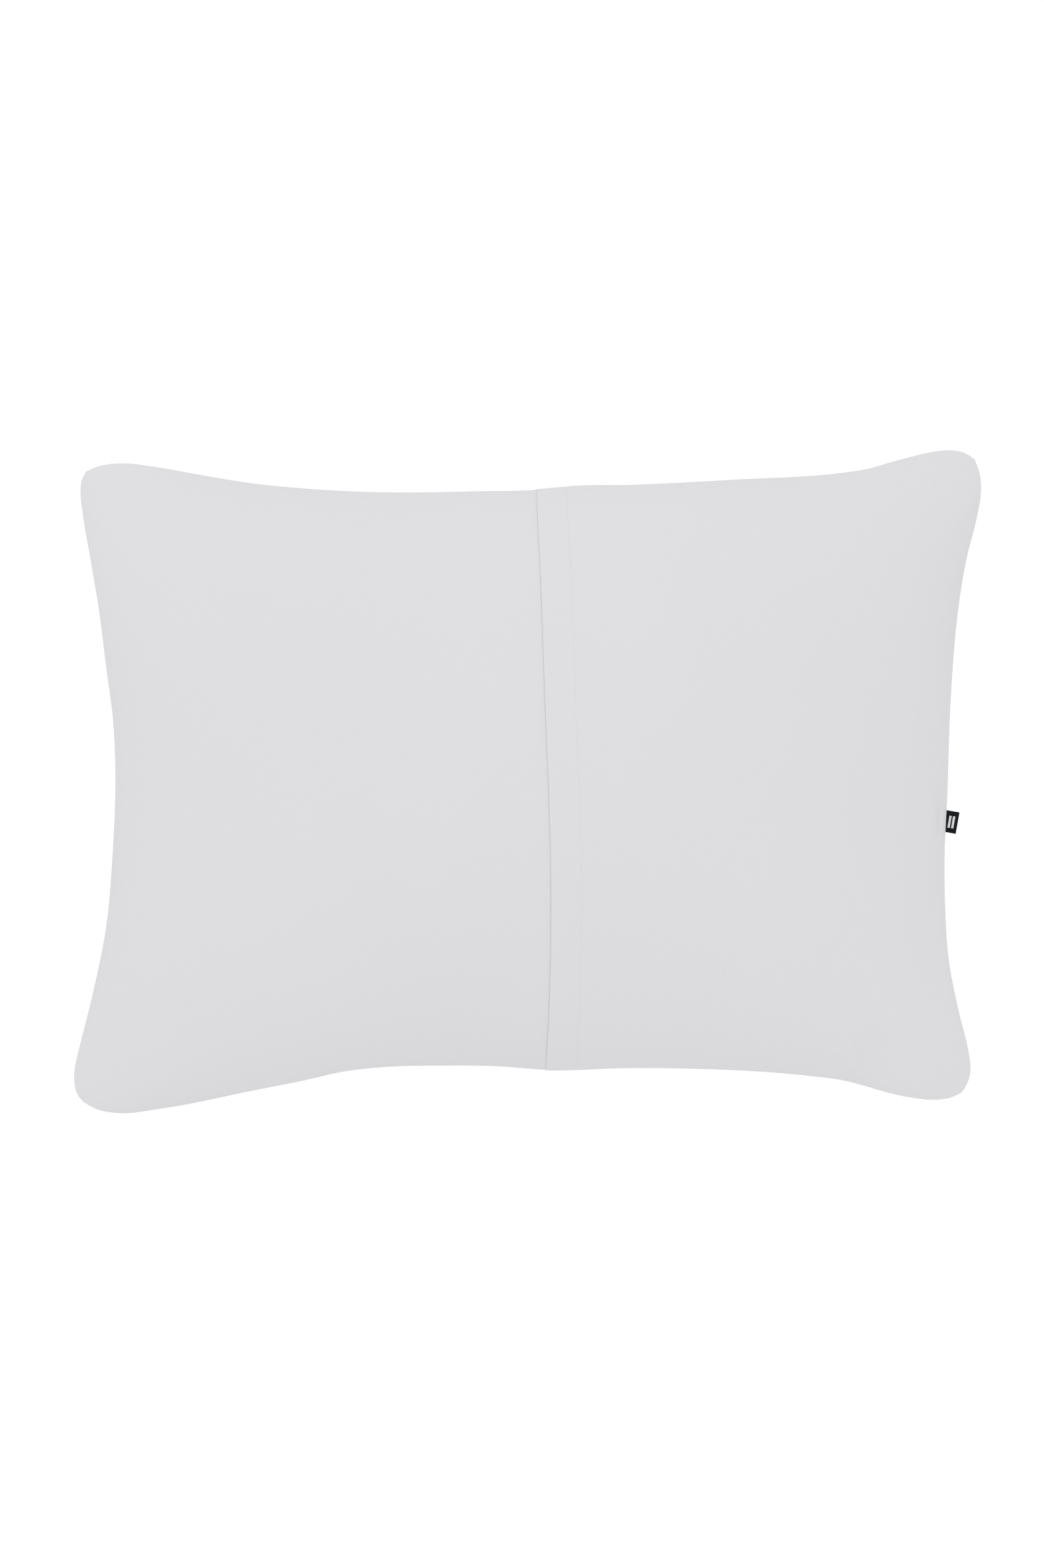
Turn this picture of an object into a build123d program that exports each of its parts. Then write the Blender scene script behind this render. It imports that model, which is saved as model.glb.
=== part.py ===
from build123d import *
import math
import os

# Bed pillow in an envelope-closure pillowcase, lying on its back panel with the opening upwards.
# Millimetres. +X runs along the long side, +Y along the short side, +Z up.
# The origin is on the table, under the middle of the pillow.

os.makedirs("parts", exist_ok=True)

# ---------------------------------------------------------------- driving dimensions

# Filled pillow: where each edge runs at mid-side, and how far each corner is drawn out past that.
TOP_EDGE, BOTTOM_EDGE = 219.5, -216.5
LEFT_EDGE, RIGHT_EDGE = -313.5, 317.0
EAR_TOP_LEFT = (34.0, 27.0)
EAR_TOP_RIGHT = (34.5, 38.0)
EAR_BOTTOM_RIGHT = (27.0, 33.0)
EAR_BOTTOM_LEFT = (39.0, 42.0)
CORNER_RADIUS = 20.0

TOTAL_HEIGHT = 170.0
SEAM_HEIGHT = 72.0
BELLY_DEPTH = 100.0
EDGE_STEEPNESS = math.radians(77.0)
SURFACE_REACH = 1.06
SURFACE_POINTS = 17

FABRIC = 0.8
PLY_GAP = 0.05
FLAP_CLEARANCE = 0.4
SEAM_MOUTH = 1.6

# Envelope closure: the hem edge leans a little, and the underlap runs on beneath it.
CLOSURE_LINE = ((5.5, 262.0), (12.2, 75.0), (17.2, -90.0), (12.8, -262.0))
HEM_WIDTH = 25.0
UNDERLAP = 80.0
UNDERLAP_HEM_WIDTH = 20.0
HINGE_X = 88.0
FLAP_HALF_LENGTH = 155.0
SLOT = 0.5
THREAD_WIDTH, THREAD_RISE = 0.7, 0.25
STITCH_INSET = 2.5

SEAM_ALLOWANCE = (1.5, 10.0)
SEAM_THICKNESS = 1.4

INSERT_INSET = 16.0
INSERT_SEAM = (12.0, 15.9)
INSERT_SEAM_THICKNESS = 2.4
INSERT_MOUTH = 0.4
INSERT_TOP_GAP = 4.1
INSERT_BASE_GAP = 1.2
CLOSING_STITCH_LENGTH = 150.0

LABEL_Y = -30.0
LABEL_LEAN = -10.0
LABEL_WIDTH, LABEL_REACH, LABEL_TAIL = 17.0, 9.6, 8.0
LABEL_THICKNESS = 1.0
LABEL_SLOT = 0.9
CARE_LABEL = (38.0, 25.0, 0.4)
CARE_LABEL_Y = -60.0

REACH = 400.0


# ---------------------------------------------------------------- shape helpers

def ear(s, low, high):
    """How far an edge is drawn out at s, which runs from -1 to 1 between its two corners."""
    return (low if s < 0 else high) * s * s


def outline_point(s, t, inset=0.0):
    """Where the point (s, t) of a square from -1 to 1 lies on the pillow, seen from above."""
    left = LEFT_EDGE + inset - ear(t, EAR_BOTTOM_LEFT[0], EAR_TOP_LEFT[0])
    right = RIGHT_EDGE - inset + ear(t, EAR_BOTTOM_RIGHT[0], EAR_TOP_RIGHT[0])
    bottom = BOTTOM_EDGE + inset - ear(s, EAR_BOTTOM_LEFT[1], EAR_BOTTOM_RIGHT[1])
    top = TOP_EDGE - inset + ear(s, EAR_TOP_LEFT[1], EAR_TOP_RIGHT[1])
    x = left + (right - left) * (1 + s) / 2
    y = bottom + (top - bottom) * (1 + t) / 2
    return x, y


def outline(inset=0.0):
    """The pillow's outline as a flat face, with its sides drawn in and its corners rounded."""
    steps = [-1 + i / 4 for i in range(9)]
    top = Spline(*[outline_point(s, 1, inset) for s in steps])
    right = Spline(*[outline_point(1, -s, inset) for s in steps])
    bottom = Spline(*[outline_point(-s, -1, inset) for s in steps])
    left = Spline(*[outline_point(-1, s, inset) for s in steps])
    sheet = make_face([top, right, bottom, left])
    return fillet(sheet.vertices(), CORNER_RADIUS - 0.5 * inset)


def column(inset, low, high):
    """The outline as an upright solid between two heights."""
    return Pos(0, 0, low) * extrude(outline(inset), amount=high - low)


def arch(a):
    """Across position and height, both from 0 to 1, at a from -1 to 1 along a domed span."""
    across = math.sin(a * EDGE_STEEPNESS) / math.sin(EDGE_STEEPNESS)
    base = math.cos(EDGE_STEEPNESS)
    return across, (math.cos(a * EDGE_STEEPNESS) - base) / (1 - base)


def dome(inset, lift, rise):
    """A domed face over the outline, at height lift along the edges and lift + rise in the middle."""
    rows = []
    for i in range(SURFACE_POINTS):
        s, across_height = arch(SURFACE_REACH * (-1 + 2 * i / (SURFACE_POINTS - 1)))
        row = []
        for j in range(SURFACE_POINTS):
            t, along_height = arch(SURFACE_REACH * (-1 + 2 * j / (SURFACE_POINTS - 1)))
            x, y = outline_point(s, t, inset)
            row.append(Vector(x, y, lift + rise * across_height * along_height))
        rows.append(row)
    return Face.make_surface_from_array_of_points(rows, tol=0.02, min_deg=3, max_deg=5)


def sheet_under(face, depth, thickness):
    """A sheet of even height whose upper face is the given face, lowered by depth."""
    return extrude(Pos(0, 0, -depth) * face, amount=thickness, dir=(0, 0, -1))


def block(x, y, z):
    """A box from pairs of limits."""
    centre = Pos((x[0] + x[1]) / 2, (y[0] + y[1]) / 2, (z[0] + z[1]) / 2)
    return centre * Box(x[1] - x[0], y[1] - y[0], z[1] - z[0])


def strip(near, far):
    """An upright slab between two copies of the closure line, moved sideways by near and far."""
    edge = Spline(*[(x + near, y) for x, y in CLOSURE_LINE])
    other = Spline(*[(x + far, y) for x, y in reversed(CLOSURE_LINE)])
    face = make_face([edge, Line(edge @ 1, other @ 0), other, Line(other @ 1, edge @ 0)])
    return extrude(face, amount=2 * REACH, both=True)


def bowl(inset, mouth, bottom, thickness):
    """A dished panel, flat underneath where it rests, up to its mouth height at the outline."""
    floor = bottom + thickness
    outer_face = dome(inset, mouth - thickness, -BELLY_DEPTH)
    outer = extrude(outer_face, amount=REACH, dir=(0, 0, 1))
    inner = extrude(Pos(0, 0, thickness) * outer_face, amount=REACH, dir=(0, 0, 1))
    outer &= block((-REACH, REACH), (-REACH, REACH), (bottom, mouth))
    inner &= block((-REACH, REACH), (-REACH, REACH), (floor, REACH))
    return (outer - inner) & column(inset, bottom, mouth)


def save(shape, name):
    """Writes one sub-part, named as its node."""
    shape.label = name
    export_step(shape, f"parts/{name}.step")


# ---------------------------------------------------------------- pillowcase, closure side

hem_level = FABRIC + PLY_GAP
underlap_level = hem_level + FABRIC + FLAP_CLEARANCE
underlap_hem_level = underlap_level + FABRIC + PLY_GAP
case_lift = SEAM_HEIGHT + SEAM_MOUTH / 2 + FABRIC + underlap_level
crown = dome(0, case_lift, TOTAL_HEIGHT - THREAD_RISE - case_lift)
case_column = column(0, 0, TOTAL_HEIGHT + 10)

upper_ply = sheet_under(crown, 0, FABRIC) & case_column
hem_ply = sheet_under(crown, hem_level, FABRIC) & case_column
thread_ply = sheet_under(crown, -THREAD_RISE, THREAD_RISE) & case_column

flap_ends = (-FLAP_HALF_LENGTH + SLOT / 2, FLAP_HALF_LENGTH - SLOT / 2)
slot_ends = (-FLAP_HALF_LENGTH - SLOT / 2, FLAP_HALF_LENGTH + SLOT / 2)
flap_zone = block((-REACH, HINGE_X - SLOT / 2), flap_ends, (-1, REACH))
slot_zone = block((-REACH, HINGE_X + SLOT / 2), slot_ends, (-1, REACH))
hem_thread = strip(HEM_WIDTH - STITCH_INSET - THREAD_WIDTH, HEM_WIDTH - STITCH_INSET)

save(upper_ply & strip(0, REACH) & flap_zone, "closure_flap")
save((upper_ply & strip(0, REACH)) - slot_zone, "case_right_panel")
save(hem_ply & strip(0, HEM_WIDTH) & flap_zone, "flap_hem")
save((hem_ply & strip(0, HEM_WIDTH)) - slot_zone, "hem_ends")
save(thread_ply & hem_thread & flap_zone, "flap_hem_stitch")
save((thread_ply & hem_thread) - slot_zone, "hem_end_stitch")

underlap_ply = sheet_under(crown, underlap_level, FABRIC) & case_column
save(underlap_ply & strip(-REACH, UNDERLAP), "case_left_panel")

inside_seams = column(SEAM_ALLOWANCE[1] + 0.5, 0, TOTAL_HEIGHT)
underlap_hem_ply = sheet_under(crown, underlap_hem_level, FABRIC) & inside_seams
save(underlap_hem_ply & strip(UNDERLAP - UNDERLAP_HEM_WIDTH, UNDERLAP), "underlap_hem")

underlap_thread = UNDERLAP - UNDERLAP_HEM_WIDTH + STITCH_INSET
underlap_thread_ply = sheet_under(crown, underlap_level - THREAD_RISE, THREAD_RISE) & inside_seams
save(
    underlap_thread_ply & strip(underlap_thread, underlap_thread + THREAD_WIDTH),
    "underlap_hem_stitch",
)

# ---------------------------------------------------------------- pillowcase, back panel and seams

back_mouth = SEAM_HEIGHT - SEAM_MOUTH / 2
save(bowl(0, back_mouth, 0, FABRIC), "case_back_panel")

seam_low, seam_high = SEAM_HEIGHT - SEAM_THICKNESS / 2, SEAM_HEIGHT + SEAM_THICKNESS / 2
seam_ring = column(SEAM_ALLOWANCE[0], seam_low, seam_high) - column(SEAM_ALLOWANCE[1], 0, REACH)
corners = {
    "top_left": outline_point(-1, 1),
    "top_right": outline_point(1, 1),
    "bottom_right": outline_point(1, -1),
    "bottom_left": outline_point(-1, -1),
}
sides = {
    "top": ("top_left", "top_right"),
    "right": ("top_right", "bottom_right"),
    "bottom": ("bottom_right", "bottom_left"),
    "left": ("bottom_left", "top_left"),
}
seams = {}
for side, ends in sides.items():
    spokes = [(corners[end][0] * 1.2, corners[end][1] * 1.2) for end in ends]
    wedge = extrude(make_face(Polyline((0, 0), *spokes, close=True)), amount=REACH)
    seams[side] = seam_ring & wedge

# ---------------------------------------------------------------- woven label in the right seam

label_edge = outline_point(1, 2 * (LABEL_Y - BOTTOM_EDGE) / (TOP_EDGE - BOTTOM_EDGE) - 1)[0]
half_width = LABEL_WIDTH / 2
half_label = LABEL_THICKNESS / 2
label_height = (SEAM_HEIGHT - half_label, SEAM_HEIGHT + half_label)
label_span = (LABEL_Y - half_width, LABEL_Y + half_width)

lean = math.tan(math.radians(LABEL_LEAN)) * half_width
label_inner = label_edge + LABEL_SLOT
label_outer = label_inner + LABEL_REACH - lean
label_face = make_face(
    Polyline(
        (label_inner, label_span[0]),
        (label_outer + 2 * lean, label_span[0] - 0.5),
        (label_outer, label_span[1] - 2),
        (label_inner, label_span[1]),
        close=True,
    )
)
save(Pos(0, 0, label_height[0]) * extrude(label_face, amount=LABEL_THICKNESS), "woven_label")

tail_reach = (label_edge - LABEL_TAIL, label_edge - 0.2)
save(block(tail_reach, label_span, label_height), "label_tail")
stitch_x = label_edge - LABEL_TAIL / 2
save(
    block(
        (stitch_x - THREAD_WIDTH / 2, stitch_x + THREAD_WIDTH / 2),
        (label_span[0] + 1, label_span[1] - 1),
        (label_height[1], label_height[1] + 0.2),
    ),
    "label_stitch",
)
tail_pocket = block(
    (tail_reach[0] - 0.1, REACH),
    (label_span[0] - 0.1, label_span[1] + 0.1),
    (0, REACH),
)
seams["right"] -= tail_pocket
for side, seam in seams.items():
    save(seam, f"seam_{side}")

# ---------------------------------------------------------------- blank care label inside the left seam

care_length, care_width, care_thickness = CARE_LABEL
lining = dome(0, back_mouth - FABRIC, -BELLY_DEPTH)
care_sheet = extrude(Pos(0, 0, FABRIC + 0.2) * lining, amount=care_thickness, dir=(0, 0, 1))
care_zone = block(
    (LEFT_EDGE + 3, LEFT_EDGE + 3 + care_length),
    (CARE_LABEL_Y - care_width / 2, CARE_LABEL_Y + care_width / 2),
    (0, REACH),
)
save(care_sheet & care_zone, "care_label")

# ---------------------------------------------------------------- the pillow inside the case

insert_lift = SEAM_HEIGHT + INSERT_MOUTH / 2 + FABRIC
insert_rise = TOTAL_HEIGHT - THREAD_RISE - INSERT_TOP_GAP - insert_lift
insert_crown = dome(INSERT_INSET, insert_lift, insert_rise)
ticking = sheet_under(insert_crown, 0, FABRIC)
save(ticking & column(INSERT_INSET, 0, TOTAL_HEIGHT), "ticking_top")

insert_mouth = SEAM_HEIGHT - INSERT_MOUTH / 2
save(bowl(INSERT_INSET, insert_mouth, INSERT_BASE_GAP, FABRIC), "ticking_bottom")

insert_seam_low = SEAM_HEIGHT - INSERT_SEAM_THICKNESS / 2
insert_seam_high = SEAM_HEIGHT + INSERT_SEAM_THICKNESS / 2
insert_seam = column(INSERT_SEAM[0], insert_seam_low, insert_seam_high)
save(insert_seam - column(INSERT_SEAM[1], 0, REACH), "ticking_seam")

stitch_ring = column(INSERT_SEAM[0] + 1.6, insert_seam_high, insert_seam_high + THREAD_RISE)
stitch_ring -= column(INSERT_SEAM[0] + 1.6 + THREAD_WIDTH, 0, REACH)
half_closing = CLOSING_STITCH_LENGTH / 2
closing_zone = block((0, REACH), (-half_closing, half_closing), (0, REACH))
save(stitch_ring & closing_zone, "ticking_closing_stitch")

fill_top = extrude(Pos(0, 0, -FABRIC - PLY_GAP) * insert_crown, amount=REACH, dir=(0, 0, -1))
fill_face = dome(INSERT_INSET, insert_mouth - FABRIC, -BELLY_DEPTH)
fill_base = extrude(Pos(0, 0, FABRIC + PLY_GAP) * fill_face, amount=REACH, dir=(0, 0, 1))
fill_floor = INSERT_BASE_GAP + FABRIC + PLY_GAP
fill_zone = column(INSERT_INSET + 1, fill_floor, TOTAL_HEIGHT)
save(fill_top & fill_base & fill_zone, "fibre_fill")
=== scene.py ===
import logging
import math
from collections.abc import Sequence
from dataclasses import dataclass, field
from enum import Enum

import bpy
import numpy as np
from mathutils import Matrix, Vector


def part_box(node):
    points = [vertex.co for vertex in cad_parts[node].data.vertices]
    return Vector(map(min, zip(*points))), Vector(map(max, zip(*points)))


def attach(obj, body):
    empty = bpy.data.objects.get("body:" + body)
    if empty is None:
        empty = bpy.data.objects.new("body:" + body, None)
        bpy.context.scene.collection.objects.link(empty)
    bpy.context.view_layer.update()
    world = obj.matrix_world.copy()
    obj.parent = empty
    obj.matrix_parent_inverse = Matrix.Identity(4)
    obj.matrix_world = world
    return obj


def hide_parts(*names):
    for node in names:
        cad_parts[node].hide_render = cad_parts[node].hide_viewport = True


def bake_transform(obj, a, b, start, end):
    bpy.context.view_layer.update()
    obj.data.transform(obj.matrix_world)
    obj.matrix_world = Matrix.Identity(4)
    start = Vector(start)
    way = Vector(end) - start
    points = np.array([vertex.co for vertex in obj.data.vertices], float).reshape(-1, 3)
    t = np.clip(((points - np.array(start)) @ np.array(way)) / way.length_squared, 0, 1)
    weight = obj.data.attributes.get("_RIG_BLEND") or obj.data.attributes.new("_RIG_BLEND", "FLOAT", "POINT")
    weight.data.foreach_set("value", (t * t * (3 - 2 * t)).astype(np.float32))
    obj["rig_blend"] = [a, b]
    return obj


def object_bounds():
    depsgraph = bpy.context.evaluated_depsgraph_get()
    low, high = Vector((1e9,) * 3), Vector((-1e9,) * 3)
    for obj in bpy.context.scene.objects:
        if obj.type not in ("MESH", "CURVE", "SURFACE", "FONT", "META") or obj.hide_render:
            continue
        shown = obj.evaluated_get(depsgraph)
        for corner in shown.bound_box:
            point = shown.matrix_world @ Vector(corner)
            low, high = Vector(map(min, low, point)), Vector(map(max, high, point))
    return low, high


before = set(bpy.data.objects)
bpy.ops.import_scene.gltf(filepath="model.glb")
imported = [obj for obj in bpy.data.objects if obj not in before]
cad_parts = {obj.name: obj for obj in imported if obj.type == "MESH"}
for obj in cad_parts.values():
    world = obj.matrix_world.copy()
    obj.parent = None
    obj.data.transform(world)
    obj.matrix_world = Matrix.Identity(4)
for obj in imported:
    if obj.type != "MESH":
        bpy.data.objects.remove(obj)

LOG = logging.getLogger("bed_pillow")
CAD_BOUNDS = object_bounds()
MM = 0.001
PILLOW, FLAP, LABEL = "pillow", "flap", "label"
TINY = 1e-12
HEART = (0.0, 0.0, 0.08)
PANEL_WAVES, BACK_WAVES = 0.4, 2.1
COLOUR_A, COLOUR_B = 6, 7


# ---------------------------------------------------------------- small helpers


def smoothstep(value: np.ndarray, low: float, high: float) -> np.ndarray:
    """Eases from 0 to 1 as a value goes from low to high.

    Args:
        value: The numbers to ease.
        low: Where the result leaves 0.
        high: Where the result reaches 1.

    Returns:
        The eased numbers, in the shape of value.
    """
    share = np.clip((value - low) / (high - low), 0.0, 1.0)
    return share * share * (3.0 - 2.0 * share)


def fine_curve(points: Sequence[tuple[float, float]], steps: int = 24) -> np.ndarray:
    """Runs a smooth curve through points, closely sampled.

    Args:
        points: The points that the curve passes through.
        steps: Samples on each stretch between two points.

    Returns:
        The sampled curve as an array of points.
    """
    p = np.array(points, float)
    chord = np.linalg.norm(np.diff(p, axis=0), axis=1)
    at = np.concatenate([[0.0], np.cumsum(chord)])
    slope = np.gradient(p, at, axis=0)
    out = [p[:1]]
    for i in range(len(p) - 1):
        u = np.linspace(0, 1, steps + 1)[1:, None]
        h = chord[i]
        out.append(
            p[i] * (2 * u**3 - 3 * u**2 + 1)
            + slope[i] * h * (u**3 - 2 * u**2 + u)
            + p[i + 1] * (3 * u**2 - 2 * u**3)
            + slope[i + 1] * h * (u**3 - u**2)
        )
    return np.concatenate(out)


def spaced(curve: np.ndarray, count: int) -> np.ndarray:
    """Places points at even distances along a curve.

    Args:
        curve: The closely sampled curve.
        count: How many points, ends included.

    Returns:
        The evenly spaced points.
    """
    along = lengths(curve)
    at = np.linspace(0, along[-1], count)
    return np.stack([np.interp(at, along, curve[:, k]) for k in range(curve.shape[1])], axis=1)


def lengths(curve: np.ndarray) -> np.ndarray:
    """Distance from the start of a curve to each of its points."""
    step = np.linalg.norm(np.diff(curve, axis=0), axis=1)
    return np.concatenate([[0.0], np.cumsum(step)])


def grid_normals(grid: np.ndarray) -> np.ndarray:
    """Unit normals of a grid of points, on the side where columns cross rows anticlockwise.

    Args:
        grid: The points.

    Returns:
        One normal for each point.
    """
    normal = np.cross(np.gradient(grid, axis=1), np.gradient(grid, axis=0))
    size = np.linalg.norm(normal, axis=2, keepdims=True)
    return normal / np.maximum(size, TINY)


def neighbour_mean(grid: np.ndarray) -> np.ndarray:
    """Mean of the four neighbours of each inner point of a grid."""
    return (grid[:-2, 1:-1] + grid[2:, 1:-1] + grid[1:-1, :-2] + grid[1:-1, 2:]) / 4


def deselect_all() -> None:
    """Leaves nothing selected, so that the next operator acts only on what it is given."""
    bpy.ops.object.select_all(action="DESELECT")


def make_active(piece: bpy.types.Object) -> None:
    """Selects one piece only and makes it the active object.

    Args:
        piece: The piece that the next operator acts on.
    """
    deselect_all()
    piece.select_set(True)
    bpy.context.view_layer.objects.active = piece


def mesh_piece(name: str, points: np.ndarray, faces: list[tuple[int, ...]]) -> bpy.types.Object:
    """Makes an object at the origin from points and faces.

    Args:
        name: The piece's name.
        points: Its points, in metres in the frame.
        faces: Its faces, as point numbers in order.

    Returns:
        The new object, in the scene.
    """
    mesh = bpy.data.meshes.new(name)
    mesh.from_pydata([tuple(p) for p in points], [], faces)
    mesh.validate()
    mesh.update()
    piece = bpy.data.objects.new(name, mesh)
    bpy.context.scene.collection.objects.link(piece)
    return piece


def flat_layer(piece: bpy.types.Object, flat: np.ndarray) -> None:
    """Gives a mesh its flat cloth coordinates.

    Args:
        piece: The mesh.
        flat: One pair of coordinates for each of its points, in metres.
    """
    layer = piece.data.uv_layers.new(name="flat_cloth")
    corner = np.zeros(len(piece.data.loops), np.int32)
    piece.data.loops.foreach_get("vertex_index", corner)
    layer.data.foreach_set("uv", flat[corner].astype(np.float32).ravel())


def grid_faces(rows: int, columns: int, start: int = 0) -> list[tuple[int, ...]]:
    """Faces of a grid of points, seen anticlockwise where columns run right and rows run up.

    Args:
        rows: The grid's rows.
        columns: Its columns.
        start: Number of its first point.

    Returns:
        The faces, as point numbers.
    """
    faces = []
    for j in range(rows - 1):
        for i in range(columns - 1):
            a = start + j * columns + i
            faces.append((a, a + 1, a + 1 + columns, a + columns))
    return faces


def closed_skin(
    upper: np.ndarray, lower: np.ndarray
) -> tuple[np.ndarray, list[tuple[int, ...]], list[int]]:
    """Joins two grids at their edges into one closed skin.

    Args:
        upper: Points of the upper side.
        lower: Points of the lower side, whose edge is the upper side's.

    Returns:
        The skin's points, its faces and the numbers of the points on its edge.
    """
    rows, columns = upper.shape[:2]
    below = np.arange(rows * columns).reshape(rows, columns)
    inner = np.zeros((rows, columns), bool)
    inner[1:-1, 1:-1] = True
    edge = [int(n) for n in below[~inner]]
    below[inner] = rows * columns + np.arange(inner.sum())
    faces = grid_faces(rows, columns)
    below = below.ravel()
    faces += [tuple(int(below[n]) for n in reversed(face)) for face in faces]
    return np.concatenate([upper.reshape(-1, 3), lower[inner]]), faces, edge


def apply_modifiers(piece: bpy.types.Object) -> None:
    """Applies every modifier of a piece, in order.

    Args:
        piece: The piece.
    """
    make_active(piece)
    for modifier in list(piece.modifiers):
        bpy.ops.object.modifier_apply(modifier=modifier.name)


def slouched(points: np.ndarray) -> np.ndarray:
    """Lets the sides of the pillow rise and sink a little, and its corners droop, as soft edges do.

    Args:
        points: Points of any piece, in metres.

    Returns:
        The points in their slouched places.
    """
    x, y, z = points.T
    crown_hold, end_sway, side_sway, corner_droop = 0.7, 1.7 * MM, 1.2 * MM, 4.5 * MM
    free = smoothstep(z, 4 * MM, 60 * MM) * (1 - crown_hold * smoothstep(z, 85 * MM, 160 * MM))
    sway = end_sway * np.sin(9.0 * x + 1.0) + side_sway * np.sin(14.0 * y + 2.0)
    droop = corner_droop * smoothstep(np.abs(x), 0.22, 0.345) * smoothstep(np.abs(y), 0.12, 0.25)
    return np.stack([x, y, z + free * (sway - droop)], axis=1)


def slouch(piece: bpy.types.Object) -> None:
    """Moves a piece's points to their slouched places.

    Args:
        piece: The finished mesh.
    """
    points = np.zeros(3 * len(piece.data.vertices), np.float32)
    piece.data.vertices.foreach_get("co", points)
    moved = slouched(points.astype(float).reshape(-1, 3))
    piece.data.vertices.foreach_set("co", moved.astype(np.float32).ravel())
    piece.data.update()


def finish_piece(
    piece: bpy.types.Object, finish: "Finish", nodes: Sequence[str], body: str = ""
) -> None:
    """Slouches and dresses a piece, hides the CAD nodes that it replaces and hangs it on its body.

    Args:
        piece: The finished mesh.
        finish: The finish that it is made in.
        nodes: The CAD nodes that it replaces.
        body: The body it rides on, or nothing if it bends between two.
    """
    slouch(piece)
    piece.data.materials.clear()
    piece.data.materials.append(finish.material())
    for polygon in piece.data.polygons:
        polygon.use_smooth = True
    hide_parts(*nodes)
    if body:
        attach(piece, body)
    LOG.info("built %s: %d faces", piece.name, len(piece.data.polygons))


# ---------------------------------------------------------------- finishes


Term = bpy.types.NodeSocket | float


class NodeTree:
    """Thin helper that adds and joins shader nodes in one tree."""

    def __init__(self, tree: bpy.types.NodeTree) -> None:
        """Keeps the tree and empties it."""
        self.tree = tree
        tree.nodes.clear()

    def add(self, kind: str, **settings: object) -> bpy.types.Node:
        """Adds a node.

        Args:
            kind: The node's type name, without its ShaderNode prefix.
            **settings: Attributes, or inputs by name with spaces as underscores.

        Returns:
            The new node.
        """
        prefix = "" if kind.startswith("Node") else "ShaderNode"
        node = self.tree.nodes.new(prefix + kind)
        for key, value in settings.items():
            label = key.replace("_", " ")
            if hasattr(node, key):
                setattr(node, key, value)
            elif label in node.inputs:
                node.inputs[label].default_value = value
            else:
                node.inputs[int(key[1:])].default_value = value
        return node

    def join(self, source: bpy.types.NodeSocket, target: bpy.types.NodeSocket) -> None:
        """Links an output to an input."""
        self.tree.links.new(source, target)

    def maths(self, operation: str, first: Term, second: Term = 0.0) -> bpy.types.NodeSocket:
        """Adds a Math node.

        Args:
            operation: The node's operation, such as MULTIPLY.
            first: The first socket or number.
            second: The second one.

        Returns:
            The result's socket.
        """
        node = self.add("Math", operation=operation)
        for socket, value in zip(node.inputs, (first, second)):
            if isinstance(value, bpy.types.NodeSocket):
                self.join(value, socket)
            else:
                socket.default_value = value
        return node.outputs[0]


def new_group(
    name: str, inputs: dict[str, str], outputs: dict[str, str]
) -> tuple[NodeTree, bpy.types.Node, bpy.types.Node]:
    """Starts a shader node group.

    Args:
        name: The group's name.
        inputs: Input names and their socket types.
        outputs: Output names and their socket types.

    Returns:
        The group's tree, its input node and its output node.
    """
    group = bpy.data.node_groups.new(name, "ShaderNodeTree")
    for label, kind in inputs.items():
        group.interface.new_socket(label, in_out="INPUT", socket_type=kind)
    for label, kind in outputs.items():
        group.interface.new_socket(label, in_out="OUTPUT", socket_type=kind)
    tree = NodeTree(group)
    return tree, tree.add("NodeGroupInput"), tree.add("NodeGroupOutput")


FLOAT, VECTOR = "NodeSocketFloat", "NodeSocketVector"


def plain_weave_group() -> bpy.types.ShaderNodeTree:
    """Over-and-under weave on flat cloth coordinates, with a soft slub mask.

    Returns:
        The group, which gives the threads' height from 0 to 1 and the slub mask.
    """
    found = bpy.data.node_groups.get("plain_weave")
    if found:
        return found
    tree, given, out = new_group(
        "plain_weave",
        {"Vector": VECTOR, "Threads": FLOAT, "Slub": FLOAT},
        {"Height": FLOAT, "Slub": FLOAT},
    )
    split = tree.add("SeparateXYZ")
    tree.join(given.outputs["Vector"], split.inputs[0])
    waves = []
    for axis in (0, 1):
        turns = tree.maths("MULTIPLY", split.outputs[axis], given.outputs["Threads"])
        waves.append((turns, tree.maths("SINE", tree.maths("MULTIPLY", turns, math.pi))))
    crossing = tree.maths("MULTIPLY", waves[0][1], waves[1][1])
    ridges = [
        tree.maths("ABSOLUTE", tree.maths("COSINE", tree.maths("MULTIPLY", turns, math.pi)))
        for turns, _ in waves
    ]
    over = tree.maths("MULTIPLY", tree.maths("ADD", crossing, 1.0), 0.5)
    relief = tree.maths("MULTIPLY", over, 0.6)
    for ridge in ridges:
        relief = tree.maths("ADD", relief, tree.maths("MULTIPLY", ridge, 0.2))
    stretch = tree.add("Mapping", Scale=(1.0, 9.0, 1.0))
    tree.join(given.outputs["Vector"], stretch.inputs["Vector"])
    slub = tree.add("TexNoise", Scale=90.0, Detail=3.0, Roughness=0.6)
    tree.join(stretch.outputs[0], slub.inputs["Vector"])
    tree.join(relief, out.inputs["Height"])
    mask = tree.maths("MULTIPLY", slub.outputs[0], given.outputs["Slub"])
    tree.join(mask, out.inputs["Slub"])
    return tree.tree


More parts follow.
